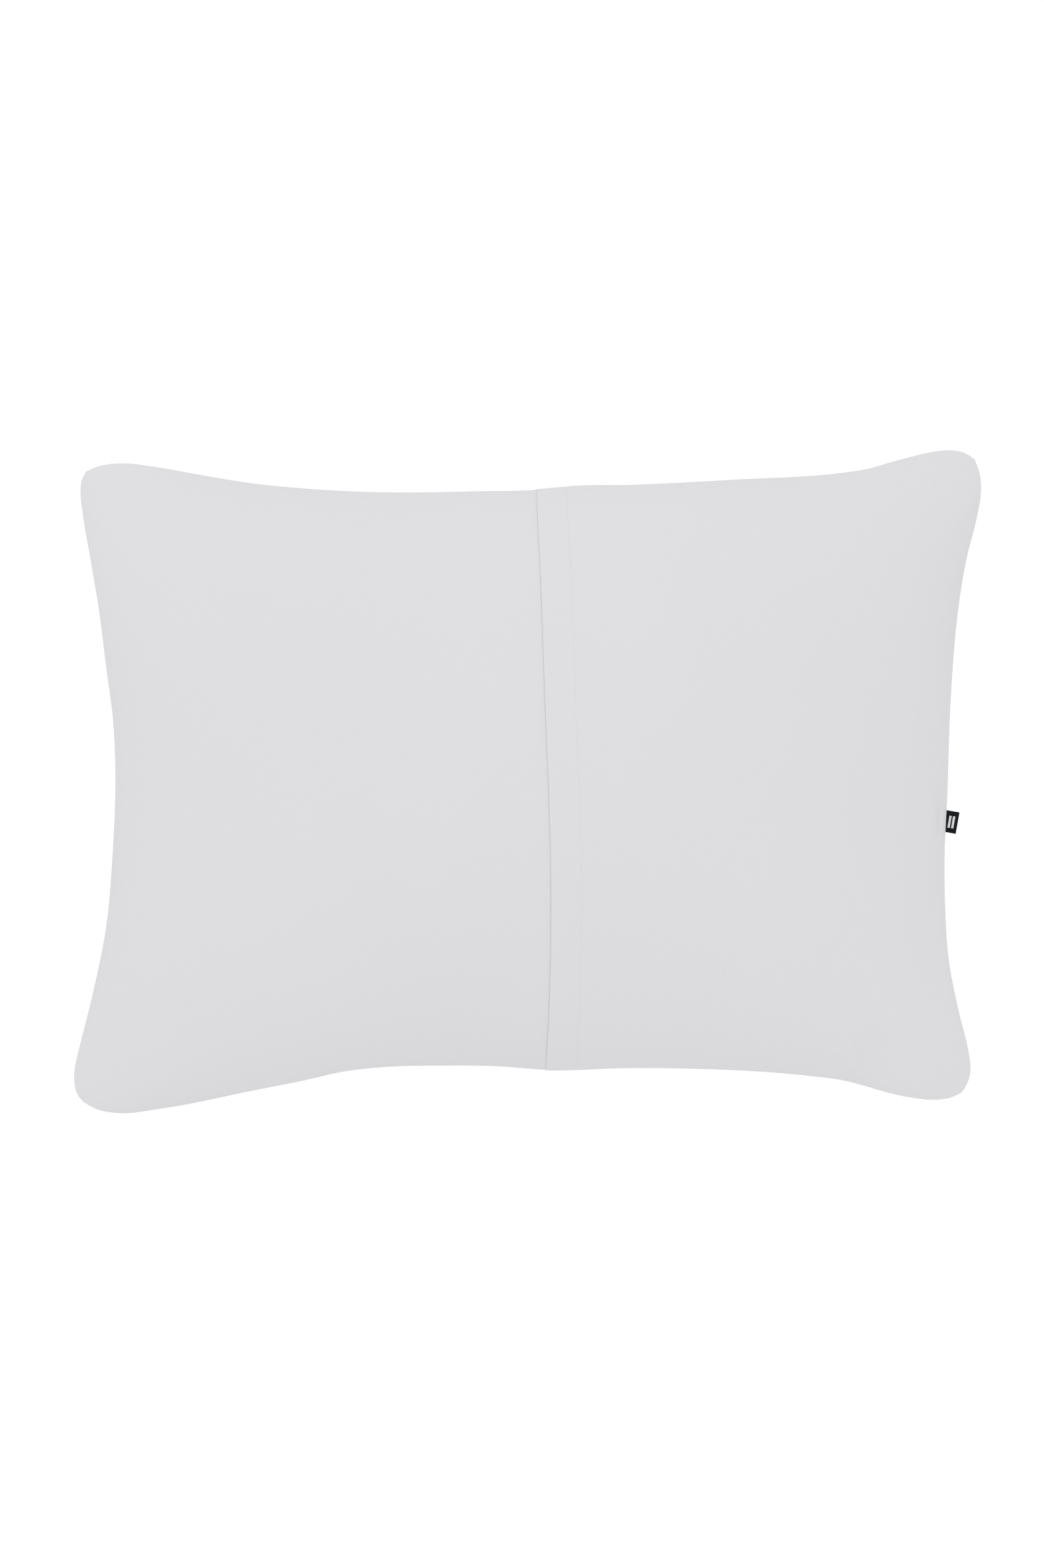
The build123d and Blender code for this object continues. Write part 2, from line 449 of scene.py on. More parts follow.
def soft_wear_group() -> bpy.types.ShaderNodeTree:
    """Handling marks in cloth, from object coordinates.

    Returns:
        The group, which gives a broad drift of tone and fine lint, both around 0.5.
    """
    found = bpy.data.node_groups.get("soft_wear")
    if found:
        return found
    tree, given, out = new_group("soft_wear", {"Vector": VECTOR}, {"Drift": FLOAT, "Lint": FLOAT})
    drift = tree.add("TexNoise", Scale=5.0, Detail=2.0, Roughness=0.5)
    lint = tree.add("TexNoise", Scale=420.0, Detail=4.0, Roughness=0.7)
    for node, label in ((drift, "Drift"), (lint, "Lint")):
        tree.join(given.outputs["Vector"], node.inputs["Vector"])
        tree.join(node.outputs[0], out.inputs[label])
    return tree.tree


@dataclass(frozen=True)
class Finish:
    """One cloth or thread finish, made as a shader.

    Attributes:
        name: The material's name.
        slot: The record's material slot it belongs to; not used.
        colour: The base colour, linear.
        deep: The darker colour painted where the weave lies low: painted shade between the threads, linear.
        threads: Threads per metre each way.
        relief: Height of the weave in metres.
        lint: Height of the loose surface fibre in metres.
        roughness: Surface roughness.
        sheen: Strength of the soft edge glow of fine fibres.
        shine: Strength of the plain surface reflection.
    """

    name: str
    slot: str
    colour: tuple[float, float, float]
    deep: tuple[float, float, float]
    threads: float = 1100.0
    relief: float = 0.00012
    lint: float = 0.00006
    roughness: float = 0.86
    sheen: float = 0.12
    shine: float = 0.25

    def material(self) -> bpy.types.Material:
        """Builds the material.

        Returns:
            The material, the one made before if there is one.
        """
        found = bpy.data.materials.get(self.name)
        if found:
            return found
        material = bpy.data.materials.new(self.name)
        material.use_nodes = True
        tree = NodeTree(material.node_tree)
        out = tree.add("OutputMaterial")
        shader = tree.add(
            "BsdfPrincipled",
            Roughness=self.roughness,
            Sheen_Weight=self.sheen,
            Sheen_Roughness=0.45,
            Specular_IOR_Level=self.shine,
        )
        tree.join(shader.outputs[0], out.inputs["Surface"])
        where = tree.add("TexCoord")
        weave = tree.add("Group", node_tree=plain_weave_group())
        weave.inputs["Threads"].default_value = self.threads
        weave.inputs["Slub"].default_value = 1.0
        tree.join(where.outputs["UV"], weave.inputs["Vector"])
        wear = tree.add("Group", node_tree=soft_wear_group())
        tree.join(where.outputs["Object"], wear.inputs["Vector"])
        self.paint(tree, shader, weave, wear, where)
        self.raise_threads(tree, shader, weave, wear)
        return material

    def paint(
        self,
        tree: NodeTree,
        shader: bpy.types.Node,
        weave: bpy.types.Node,
        wear: bpy.types.Node,
        where: bpy.types.Node,
    ) -> None:
        """Mixes the plain colour with the deep one into the base colour: by the weave's height as painted
        shade between the threads, and by slub and drift as the cloth's own random tone.

        Args:
            tree: The material's nodes.
            shader: Its Principled BSDF.
            weave: Its weave group.
            wear: Its wear group.
            where: Its texture coordinates.
        """
        # Painted shade: the weave's low places, between the threads, take the darker deep colour; slub and
        # drift are the cloth's own random tone.
        share = tree.maths("MULTIPLY", weave.outputs["Height"], 0.55)
        for mask, weight in ((weave.outputs["Slub"], 0.35), (wear.outputs["Drift"], 0.3)):
            share = tree.maths("ADD", share, tree.maths("MULTIPLY", mask, weight))
        mix = tree.add("Mix", data_type="RGBA", clamp_factor=True)
        mix.inputs[COLOUR_A].default_value = (*self.deep, 1.0)
        mix.inputs[COLOUR_B].default_value = (*self.colour, 1.0)
        tree.join(share, mix.inputs[0])
        tree.join(self.mark(tree, mix.outputs[2], where), shader.inputs["Base Color"])

    def mark(
        self, tree: NodeTree, colour: bpy.types.NodeSocket, where: bpy.types.Node
    ) -> bpy.types.NodeSocket:
        """Adds whatever the finish has woven into it; plain cloth has nothing."""
        return colour

    def raise_threads(
        self, tree: NodeTree, shader: bpy.types.Node, weave: bpy.types.Node, wear: bpy.types.Node
    ) -> None:
        """Raises the weave and the lint as bumps, one on the other.

        Args:
            tree: The material's nodes.
            shader: Its Principled BSDF.
            weave: Its weave group.
            wear: Its wear group.
        """
        lint = tree.add("Bump", Distance=self.lint, Strength=0.6)
        tree.join(wear.outputs["Lint"], lint.inputs["Height"])
        threads = tree.add("Bump", Distance=self.relief, Strength=0.7)
        tree.join(weave.outputs["Height"], threads.inputs["Height"])
        tree.join(lint.outputs[0], threads.inputs["Normal"])
        tree.join(threads.outputs[0], shader.inputs["Normal"])


@dataclass(frozen=True)
class LabelRibbon(Finish):
    """Dense dark ribbon with two short pale woven bars.

    Attributes:
        bars: Start and end of each bar along the ribbon, in metres.
        bar_half_width: Half of each bar's length across the ribbon, in metres.
        bar_colour: The bars' colour, linear.
    """

    bars: tuple[tuple[float, float], ...] = ((0.0027, 0.0044), (0.0055, 0.0072))
    bar_half_width: float = 0.0046
    bar_colour: tuple[float, float, float] = (0.70, 0.70, 0.71)

    def mark(
        self, tree: NodeTree, colour: bpy.types.NodeSocket, where: bpy.types.Node
    ) -> bpy.types.NodeSocket:
        """Weaves the two bars into the ribbon's faces.

        Args:
            tree: The material's nodes.
            colour: The ribbon's own colour.
            where: The material's texture coordinates.

        Returns:
            The colour with the bars in it.
        """
        split = tree.add("SeparateXYZ")
        tree.join(where.outputs["UV"], split.inputs[0])
        along = tree.maths("ABSOLUTE", split.outputs[0])
        sideways = tree.maths("ABSOLUTE", split.outputs[1])
        across = tree.maths("LESS_THAN", sideways, self.bar_half_width)
        inside = 0.0
        for low, high in self.bars:
            here = tree.maths(
                "MULTIPLY",
                tree.maths("GREATER_THAN", along, low),
                tree.maths("LESS_THAN", along, high),
            )
            inside = tree.maths("ADD", here, inside)
        mix = tree.add("Mix", data_type="RGBA")
        tree.join(tree.maths("MULTIPLY", inside, across), mix.inputs[0])
        tree.join(colour, mix.inputs[COLOUR_A])
        mix.inputs[COLOUR_B].default_value = (*self.bar_colour, 1.0)
        return mix.outputs[2]


class Cloth(Enum):
    """The finishes that the pillow is made in."""

    # The second colour of each finish is painted shade between its threads.
    CASE = Finish(
        "case_cotton", "case_fabric", (0.761, 0.760, 0.775), (0.686, 0.685, 0.700),
        threads=1800.0, relief=0.00008, lint=0.00004,
    )
    THREAD = Finish(
        "sewing_thread", "case_thread", (0.78, 0.78, 0.79), (0.70, 0.70, 0.71),
        threads=2400.0, relief=0.0001, roughness=0.6,
    )
    RIBBON = LabelRibbon(
        "label_ribbon", "label_weave", (0.0085, 0.0105, 0.0125), (0.003, 0.004, 0.005),
        threads=2600.0, relief=0.00009, lint=0.00002, roughness=0.7, sheen=0.02, shine=0.1,
    )
    SATIN = Finish(
        "care_satin", "care_label_satin", (0.84, 0.84, 0.83), (0.7, 0.7, 0.69),
        threads=3000.0, relief=0.00004, lint=0.00001, roughness=0.38, sheen=0.2,
    )
    TICKING = Finish(
        "insert_ticking", "ticking_fabric", (0.83, 0.83, 0.83), (0.7, 0.7, 0.7),
        threads=800.0, relief=0.00015, lint=0.0001, roughness=0.9,
    )
    FIBRE = Finish(
        "crimped_fibre", "polyester_fibre", (0.88, 0.88, 0.88), (0.66, 0.66, 0.66),
        threads=240.0, relief=0.0009, lint=0.0016, roughness=0.95, sheen=0.4,
    )


# ---------------------------------------------------------------- the filled form


PATCH_PASSES = 400
EDGE_STEPS = (0, 0.1, 0.26, 0.5, 0.85, 1.3, 1.85, 2.5, 3.2, 4)


@dataclass
class Form:
    """The shape of the filled pillow that every piece of cloth is laid on.

    Attributes:
        top: Points of the upper side, rows from bottom edge to top edge, columns from left to right.
        base: Points of the lower side, in the same order.
        closure: Number of the column that lies along the opening's edge.
        seam_height: Height of the side seams.
        spacing: Distance between columns near the opening, in metres.
    """

    top: np.ndarray
    base: np.ndarray
    closure: int
    seam_height: float
    spacing: float

    def edge_distance(self, axis: int) -> np.ndarray:
        """Distance, seen from above, from each point to the nearer end of its line.

        Args:
            axis: 0 for lines that are columns and 1 for rows.

        Returns:
            The distances, in metres.
        """
        step = np.linalg.norm(np.diff(self.base[:, :, :2], axis=axis), axis=2)
        start = np.zeros_like(np.take(step, [0], axis=axis))
        along = np.concatenate([start, np.cumsum(step, axis=axis)], axis=axis)
        return np.minimum(along, np.take(along, [-1], axis=axis) - along)


@dataclass
class FilledShape:
    """Works out the filled pillow: its outline, its two domed sides and how the filling swells them.

    Attributes:
        spacing: Distance between neighbouring points, in metres.
        fullness: Exponent that rounds the sides; lower is fuller at the edges.
        belly: How far the lower side would hang if nothing held it up, in metres.
        swell_cap: The most that a point may move as the filling swells, in metres.
        pressure: Pressure of the filling on the cloth.
        frames: Frames that the cloth simulation runs for.
        cad_size: Size of the CAD box that the outline's points belong to, in metres.
        growth: How much larger the outline is drawn, because the rounding draws it in.
        crown_gap: How far the form's crown stays under the CAD box, in metres.
        row_share: Length of a middle column as a share of the box's width.
        membrane_passes: Rounds of smoothing that shape the evenly pressed skin.
        top_edge: Points along the top seam from the left corner to the right, in millimetres.
        right_edge: Points down the right seam from the top corner to the bottom one.
        bottom_edge: Points along the bottom seam from the left corner to the right.
        left_edge: Points down the left seam from the top corner to the bottom one.
        closure_line: The opening's edge from the bottom seam to the top one.
    """

    spacing: float = 0.006
    fullness: float = 0.64
    belly: float = 0.102
    swell_cap: float = 0.012
    pressure: float = 4.0
    frames: int = 20
    cad_size: tuple[float, float] = (0.6880, 0.5028)
    growth: float = 1.0025
    crown_gap: float = 2.4 * MM
    row_share: float = 0.96
    membrane_passes: int = 9000
    top_edge: tuple[tuple[float, float], ...] = (
        (-335.5, 235.8), (-326.5, 239.8), (-308.0, 242.1), (-285.0, 239.6), (-249.0, 233.2),
        (-209.0, 226.6), (-168.0, 222.6), (-127.0, 220.2), (-87.0, 219.6), (-40.0, 220.5),
        (7.1, 221.6), (20.0, 222.7), (36.0, 224.2), (75.0, 224.7), (156.0, 229.2),
        (237.0, 234.2), (258.0, 237.3), (276.0, 242.6), (294.0, 247.5), (308.0, 250.7),
        (321.0, 252.0), (331.5, 250.6), (340.2, 244.9),
    )
    right_edge: tuple[tuple[float, float], ...] = (
        (340.2, 244.9), (343.9, 235.8), (345.3, 221.6), (341.7, 199.3), (333.8, 168.8),
        (327.2, 128.3), (322.0, 67.4), (318.9, -13.7), (317.0, -54.2), (317.4, -94.8),
        (320.2, -135.4), (328.3, -175.9), (335.8, -206.0), (337.4, -218.5), (335.6, -228.5),
        (330.1, -236.8),
    )
    bottom_edge: tuple[tuple[float, float], ...] = (
        (-337.7, -243.9), (-327.0, -249.8), (-311.0, -252.5), (-278.0, -248.9), (-209.0, -235.2),
        (-168.0, -227.0), (-140.0, -220.6), (-107.0, -217.0), (-67.0, -216.0), (-20.0, -216.6),
        (14.2, -219.2), (34.5, -219.0), (65.0, -217.6), (136.0, -218.5), (217.0, -224.1),
        (240.0, -227.2), (258.0, -231.9), (276.0, -237.3), (294.0, -240.9), (308.0, -242.3),
        (323.0, -240.4), (330.1, -236.8),
    )
    left_edge: tuple[tuple[float, float], ...] = (
        (-335.5, 235.8), (-339.4, 229.7), (-340.2, 219.5), (-338.4, 203.3), (-332.4, 168.8),
        (-325.5, 128.3), (-320.4, 87.7), (-315.0, 47.2), (-313.2, 10.0), (-315.2, -54.2),
        (-320.9, -115.1), (-329.2, -155.6), (-340.4, -200.3), (-344.3, -216.5),
        (-345.0, -228.7), (-342.7, -238.3), (-337.7, -243.9),
    )
    closure_line: tuple[tuple[float, float], ...] = (
        (14.2, -219.2), (15.6, -194.0), (17.0, -160.0), (17.6, -133.0), (17.6, -57.0),
        (16.6, -20.0), (15.1, 19.0), (13.2, 65.0), (11.7, 110.0), (10.1, 156.0),
        (8.6, 187.0), (7.1, 221.6),
    )

    def build(self) -> Form:
        """Shapes and swells the pillow.

        Returns:
            The filled form.
        """
        low, high = CAD_BOUNDS
        seam_height = (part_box("seam_left")[0].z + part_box("seam_left")[1].z) / 2
        plan, closure = self.plan(high.x - low.x, high.y - low.y)
        puffed = self.puffed(plan)
        plan, puffed = self.finer_edges(plan), self.finer_edges(puffed)
        closure += len(EDGE_STEPS) - 1 - EDGE_STEPS[-1]
        dome = (puffed / puffed.max()) ** self.fullness
        crown_rise = high.z - seam_height - self.crown_gap
        top = np.dstack([plan, seam_height + crown_rise * dome])
        base = np.dstack([plan, seam_height - self.belly * dome])
        top, base = self.swell(top, base)
        for side, reach in ((top, crown_rise), (base, -self.belly)):
            away = side[:, :, 2] - seam_height
            side[:, :, 2] = seam_height + away * reach / away.flat[np.abs(away).argmax()]
        top = self.fold(top, seam_height)
        base = self.settle(base)
        LOG.info("form: %d rows by %d columns", *top.shape[:2])
        return Form(top, base, closure, seam_height, self.spacing)

    def plan(self, length: float, width: float) -> tuple[np.ndarray, int]:
        """Lays an even grid inside the outline, seen from above.

        Args:
            length: The CAD box's size along X.
            width: The CAD box's size along Y.

        Returns:
            The grid of points, and the number of the column on the opening's edge.
        """
        scale = MM * self.growth * np.array([length / self.cad_size[0], width / self.cad_size[1]])
        sides = {
            "top": fine_curve(self.top_edge) * scale,
            "right": fine_curve(self.right_edge[::-1]) * scale,
            "bottom": fine_curve(self.bottom_edge) * scale,
            "left": fine_curve(self.left_edge[::-1]) * scale,
            "closure": fine_curve(self.closure_line) * scale,
        }
        rows = round(width * self.row_share / self.spacing) + 1
        halves = []
        for near, far in (("left", "closure"), ("closure", "right")):
            edge_low = self.between(sides["bottom"], sides[near][0], sides[far][0])
            edge_high = self.between(sides["top"], sides[near][-1], sides[far][-1])
            columns = round(lengths(edge_low)[-1] / self.spacing) + 1
            halves.append(
                self.patch(
                    spaced(edge_low, columns),
                    spaced(edge_high, columns),
                    spaced(sides[near], rows),
                    spaced(sides[far], rows),
                )
            )
        return np.concatenate([halves[0], halves[1][:, 1:]], axis=1), halves[0].shape[1] - 1

    @staticmethod
    def between(curve: np.ndarray, start: np.ndarray, end: np.ndarray) -> np.ndarray:
        """Cuts a curve at its points nearest to two others.

        Args:
            curve: The closely sampled curve.
            start: The point where the cut piece starts.
            end: The point where it ends.

        Returns:
            The stretch between them.
        """
        first = int(np.argmin(np.linalg.norm(curve - start, axis=1)))
        last = int(np.argmin(np.linalg.norm(curve - end, axis=1)))
        return curve[first : last + 1]

    @staticmethod
    def patch(low: np.ndarray, high: np.ndarray, left: np.ndarray, right: np.ndarray) -> np.ndarray:
        """Fills the space inside four edges with a smooth grid.

        Args:
            low: Points along the bottom edge.
            high: Points along the top edge.
            left: Points up the left edge.
            right: Points up the right edge.

        Returns:
            The grid of points, rows from low to high.
        """
        t = np.linspace(0, 1, len(left))[:, None, None]
        s = np.linspace(0, 1, len(low))[None, :, None]
        grid = (1 - t) * low[None] + t * high[None] + (1 - s) * left[:, None] + s * right[:, None]
        grid -= (1 - t) * ((1 - s) * low[0] + s * low[-1]) + t * ((1 - s) * high[0] + s * high[-1])
        for _ in range(PATCH_PASSES):
            grid[1:-1, 1:-1] = neighbour_mean(grid)
        return grid

    def puffed(self, plan: np.ndarray) -> np.ndarray:
        """Height of an evenly pressed skin that is held down at the edges of the grid.

        Args:
            plan: The grid, seen from above.

        Returns:
            The heights, in no unit.
        """
        height = np.zeros(plan.shape[:2])
        for _ in range(self.membrane_passes):
            height[1:-1, 1:-1] = neighbour_mean(height) + 1.0
        return height

    @staticmethod
    def finer_edges(values: np.ndarray) -> np.ndarray:
        """Adds rows and columns near the edges, where the cloth curves most.

        Args:
            values: Numbers or points on the even grid.

        Returns:
            The same on the finer grid.
        """
        for axis in (0, 1):
            last = values.shape[axis] - 1
            middle = np.arange(EDGE_STEPS[-1] + 1, last - EDGE_STEPS[-1])
            at = np.concatenate([EDGE_STEPS, middle, last - np.array(EDGE_STEPS[::-1])])
            below = np.minimum(at.astype(int), last - 1)
            share = (at - below).reshape([-1 if k == axis else 1 for k in range(values.ndim)])
            near, far = np.take(values, below, axis=axis), np.take(values, below + 1, axis=axis)
            values = near * (1 - share) + far * share
        return values

    def swell(self, top: np.ndarray, base: np.ndarray) -> tuple[np.ndarray, np.ndarray]:
        """Lets the filling press the cloth out, held at its seams, by cloth simulation.

        Args:
            top: The upper side's points.
            base: The lower side's points.

        Returns:
            Both sides after the cloth has swollen.
        """
        points, faces, edge = closed_skin(top, base)
        skin = mesh_piece("swelling_skin", points, faces)
        seam = skin.vertex_groups.new(name="seam")
        seam.add(edge, 1.0, "REPLACE")
        self.press(skin)
        moved = np.array([v.co for v in skin.data.vertices], float)
        step = moved - points
        size = np.linalg.norm(step, axis=1, keepdims=True)
        points = points + step * np.minimum(1.0, self.swell_cap / np.maximum(size, TINY))
        LOG.info("swelling moved the cloth by up to %.1f mm", size.max() / MM)
        bpy.data.objects.remove(skin)
        count = top.shape[0] * top.shape[1]
        swollen_base = base.copy()
        swollen_base[1:-1, 1:-1] = points[count:].reshape(base[1:-1, 1:-1].shape)
        return points[:count].reshape(top.shape), swollen_base

    def press(self, skin: bpy.types.Object) -> None:
        """Runs the cloth simulation on the skin and applies it.

        Args:
            skin: The closed skin, with its seam in a vertex group.
        """
        cloth = skin.modifiers.new("filling", "CLOTH")
        settings = cloth.settings
        settings.quality = 6
        settings.mass = 0.25
        settings.tension_stiffness = 18.0
        settings.compression_stiffness = 14.0
        settings.shear_stiffness = 6.0
        settings.bending_stiffness = 0.6
        settings.air_damping = 3.0
        settings.shrink_min = 0.0
        settings.vertex_group_mass = "seam"
        settings.use_pressure = True
        settings.uniform_pressure_force = self.pressure
        settings.effector_weights.gravity = 0.0
        cloth.collision_settings.use_collision = False
        scene = bpy.context.scene
        cloth.point_cache.frame_start, cloth.point_cache.frame_end = 1, self.frames
        for number in range(1, self.frames + 1):
            scene.frame_set(number)
        apply_modifiers(skin)
        scene.frame_set(1)

    def fold(self, top: np.ndarray, seam_height: float) -> np.ndarray:
        """Presses a few soft folds into the upper side, most of them where a corner is drawn out.

        Args:
            top: The upper side's points.
            seam_height: Height of the seams, where the cloth is held.

        Returns:
            The points with the folds in them.
        """
        normal = grid_normals(top)
        depth = np.zeros(top.shape[:2])
        for crease in CREASES:
            depth += crease.depth_at(top[:, :, :2])
        held = smoothstep(top[:, :, 2] - seam_height, 1 * MM, 18 * MM)
        return top - normal * (depth * held)[:, :, None]

    def settle(self, base: np.ndarray) -> np.ndarray:
        """Flattens the lower side where it rests on the table.

        Args:
            base: The lower side's points, which hang below the table.

        Returns:
            The settled points.
        """
        floor, softness = 0.45 * MM, 1.6 * MM
        height = (base[:, :, 2] - floor) / softness
        base[:, :, 2] = floor + softness * np.logaddexp(0.0, height)
        return base


@dataclass(frozen=True)
class Crease:
    """A soft fold in the cloth.

    Attributes:
        start: One end, in millimetres.
        end: The other end, in millimetres.
        half_width: How wide it is to each side, in millimetres.
        depth: How deep it is, in millimetres; a negative depth is a ridge.
    """

    start: tuple[float, float]
    end: tuple[float, float]
    half_width: float
    depth: float

    def depth_at(self, points: np.ndarray) -> np.ndarray:
        """How deep the fold is, seen from above.

        Args:
            points: Places on the cloth, in metres.

        Returns:
            The depth at each, in metres.
        """
        start, end = np.array(self.start) * MM, np.array(self.end) * MM
        run = end - start
        along = ((points - start) @ run) / (run @ run)
        nearest = start + np.clip(along, 0, 1)[..., None] * run
        away = np.linalg.norm(points - nearest, axis=-1) / (self.half_width * MM)
        fade = smoothstep(along, -0.35, 0.3) * smoothstep(-along, -1.35, -0.7)
        return self.depth * MM * np.exp(-away * away) * fade


CREASES = (
    Crease((264, -237), (238, -202), 4.5, -2.6),
    Crease((274, -236), (247, -200), 5, 2.6),
    Crease((290, -233), (262, -192), 13, 3.2),
    Crease((322, -191), (298, -90), 16, 1.6),
    Crease((316, -14), (315, -43), 3, 5.0),
    Crease((300, 205), (262, 168), 18, 0.7),
    Crease((-306, -205), (-262, -165), 22, 0.8),
    Crease((-300, 198), (-262, 160), 20, 0.6),
)


# ---------------------------------------------------------------- cloth pieces


class FreeEdge(Enum):
    """The side of a panel that isn't sewn into a seam."""

    NONE = 0
    LEFT = 1
    RIGHT = 2


def sewn_path(rows: int, columns: int, free: FreeEdge) -> list[int]:
    """The sewn edge of a grid, anticlockwise.

    Args:
        rows: The grid's rows.
        columns: Its columns.
        free: The side that is left out.

    Returns:
        Point numbers along the edge, the first repeated at the end if it goes all round.
    """
    number = np.arange(rows * columns).reshape(rows, columns)
    bottom, right, top, left = number[0], number[:, -1], number[-1, ::-1], number[::-1, 0]
    sides = {
        FreeEdge.NONE: (bottom, right[1:], top[1:], left[1:]),
        FreeEdge.LEFT: (bottom, right[1:], top[1:]),
        FreeEdge.RIGHT: (top, left[1:], bottom[1:]),
    }[free]
    return [int(n) for n in np.concatenate(sides)]


@dataclass
class ClothSheet:
    """A piece of cloth laid on the form: a grid of points with its flat cloth coordinates.

    Attributes:
        name: The piece's name.
        grid: Its points, outer face upwards or outwards.
        flat: The same points on the flat cloth, in metres.
        thickness: The cloth's thickness, in metres.
        turned: Rings of points that turn in from the sewn edge, outermost first, and their flat places.
        path: Point numbers along the sewn edge that the rings start from.
    """

    name: str
    grid: np.ndarray
    flat: np.ndarray
    thickness: float = 0.25 * MM
    turned: tuple[np.ndarray, ...] = ()
    path: Sequence[int] = ()

    def rings(self, points: list[np.ndarray], flat: list[np.ndarray]) -> list[tuple[int, ...]]:
        """Adds the turned-in rings to the points and flat places.

        Args:
            points: The sheet's points, which grow by each ring.
            flat: Their flat places, which grow alike.

        Returns:
            The rings' faces.
        """
        faces, outer = [], list(self.path)
        closed = outer[0] == outer[-1]
        start = sum(len(p) for p in points)
        edge = flat[0][outer]
        run = np.gradient(edge, axis=0)
        away = np.stack([run[:, 1], -run[:, 0]], axis=1)
        away /= np.maximum(np.linalg.norm(away, axis=1, keepdims=True), TINY)
        for number, ring in enumerate(self.turned, start=1):
            used = ring[:-1] if closed else ring
            inner = [start + i for i in range(len(used))] + ([start] if closed else [])
            start += len(used)
            points.append(used)
            flat.append((edge + away * number * MM)[: len(used)])
            faces += [
                (outer[i + 1], outer[i], inner[i], inner[i + 1]) for i in range(len(outer) - 1)
            ]
            outer = inner
        return faces

    def mesh(self, outward: bool = True, smooth: int = 1) -> bpy.types.Object:
        """Makes the closed, rounded mesh of the cloth.

        Args:
            outward: True if the grid's own normals point out of the pillow.
            smooth: Subdivision levels.

        Returns:
            The finished object.
        """
        rows, columns = self.grid.shape[:2]
        faces = grid_faces(rows, columns)
        points, flat = [self.grid.reshape(-1, 3)], [self.flat.reshape(-1, 2)]
        if self.turned:
            faces += self.rings(points, flat)
        if not outward:
            faces = [tuple(reversed(f)) for f in faces]
        piece = mesh_piece(self.name, np.concatenate(points), faces)
        flat_layer(piece, np.concatenate(flat))
        wall = piece.modifiers.new("wall", "SOLIDIFY")
        wall.thickness = self.thickness
        wall.offset = -1.0
        if smooth:
            rounding = piece.modifiers.new("rounding", "SUBSURF")
            rounding.levels = rounding.render_levels = smooth
            rounding.uv_smooth = "PRESERVE_BOUNDARIES"
        apply_modifiers(piece)
        return piece


def flat_cloth(grid: np.ndarray, middle_row: int, middle_column: int) -> np.ndarray:
    """Flat cloth coordinates of a grid: distances along its rows and columns from a middle point.

    Args:
        grid: The points on the form.
        middle_row: The row that distances up and down count from.
        middle_column: The column that distances left and right count from.

    Returns:
        Two coordinates for each point, in metres.
    """
    along = np.linalg.norm(np.diff(grid, axis=1), axis=2)
    along = np.concatenate([np.zeros((len(grid), 1)), np.cumsum(along, axis=1)], axis=1)
    up = np.linalg.norm(np.diff(grid, axis=0), axis=2)
    up = np.concatenate([np.zeros((1, grid.shape[1])), np.cumsum(up, axis=0)], axis=0)
    along -= along[:, middle_column][:, None]
    up -= up[middle_row][None, :]
    return np.dstack([along, up])


def lay(grid: np.ndarray, lift: np.ndarray | float, outward: float = 1.0) -> np.ndarray:
    """Lifts a grid off itself along its normals."""
    amount = np.broadcast_to(np.asarray(lift, float), grid.shape[:2])
    return grid + grid_normals(grid) * outward * amount[:, :, None]


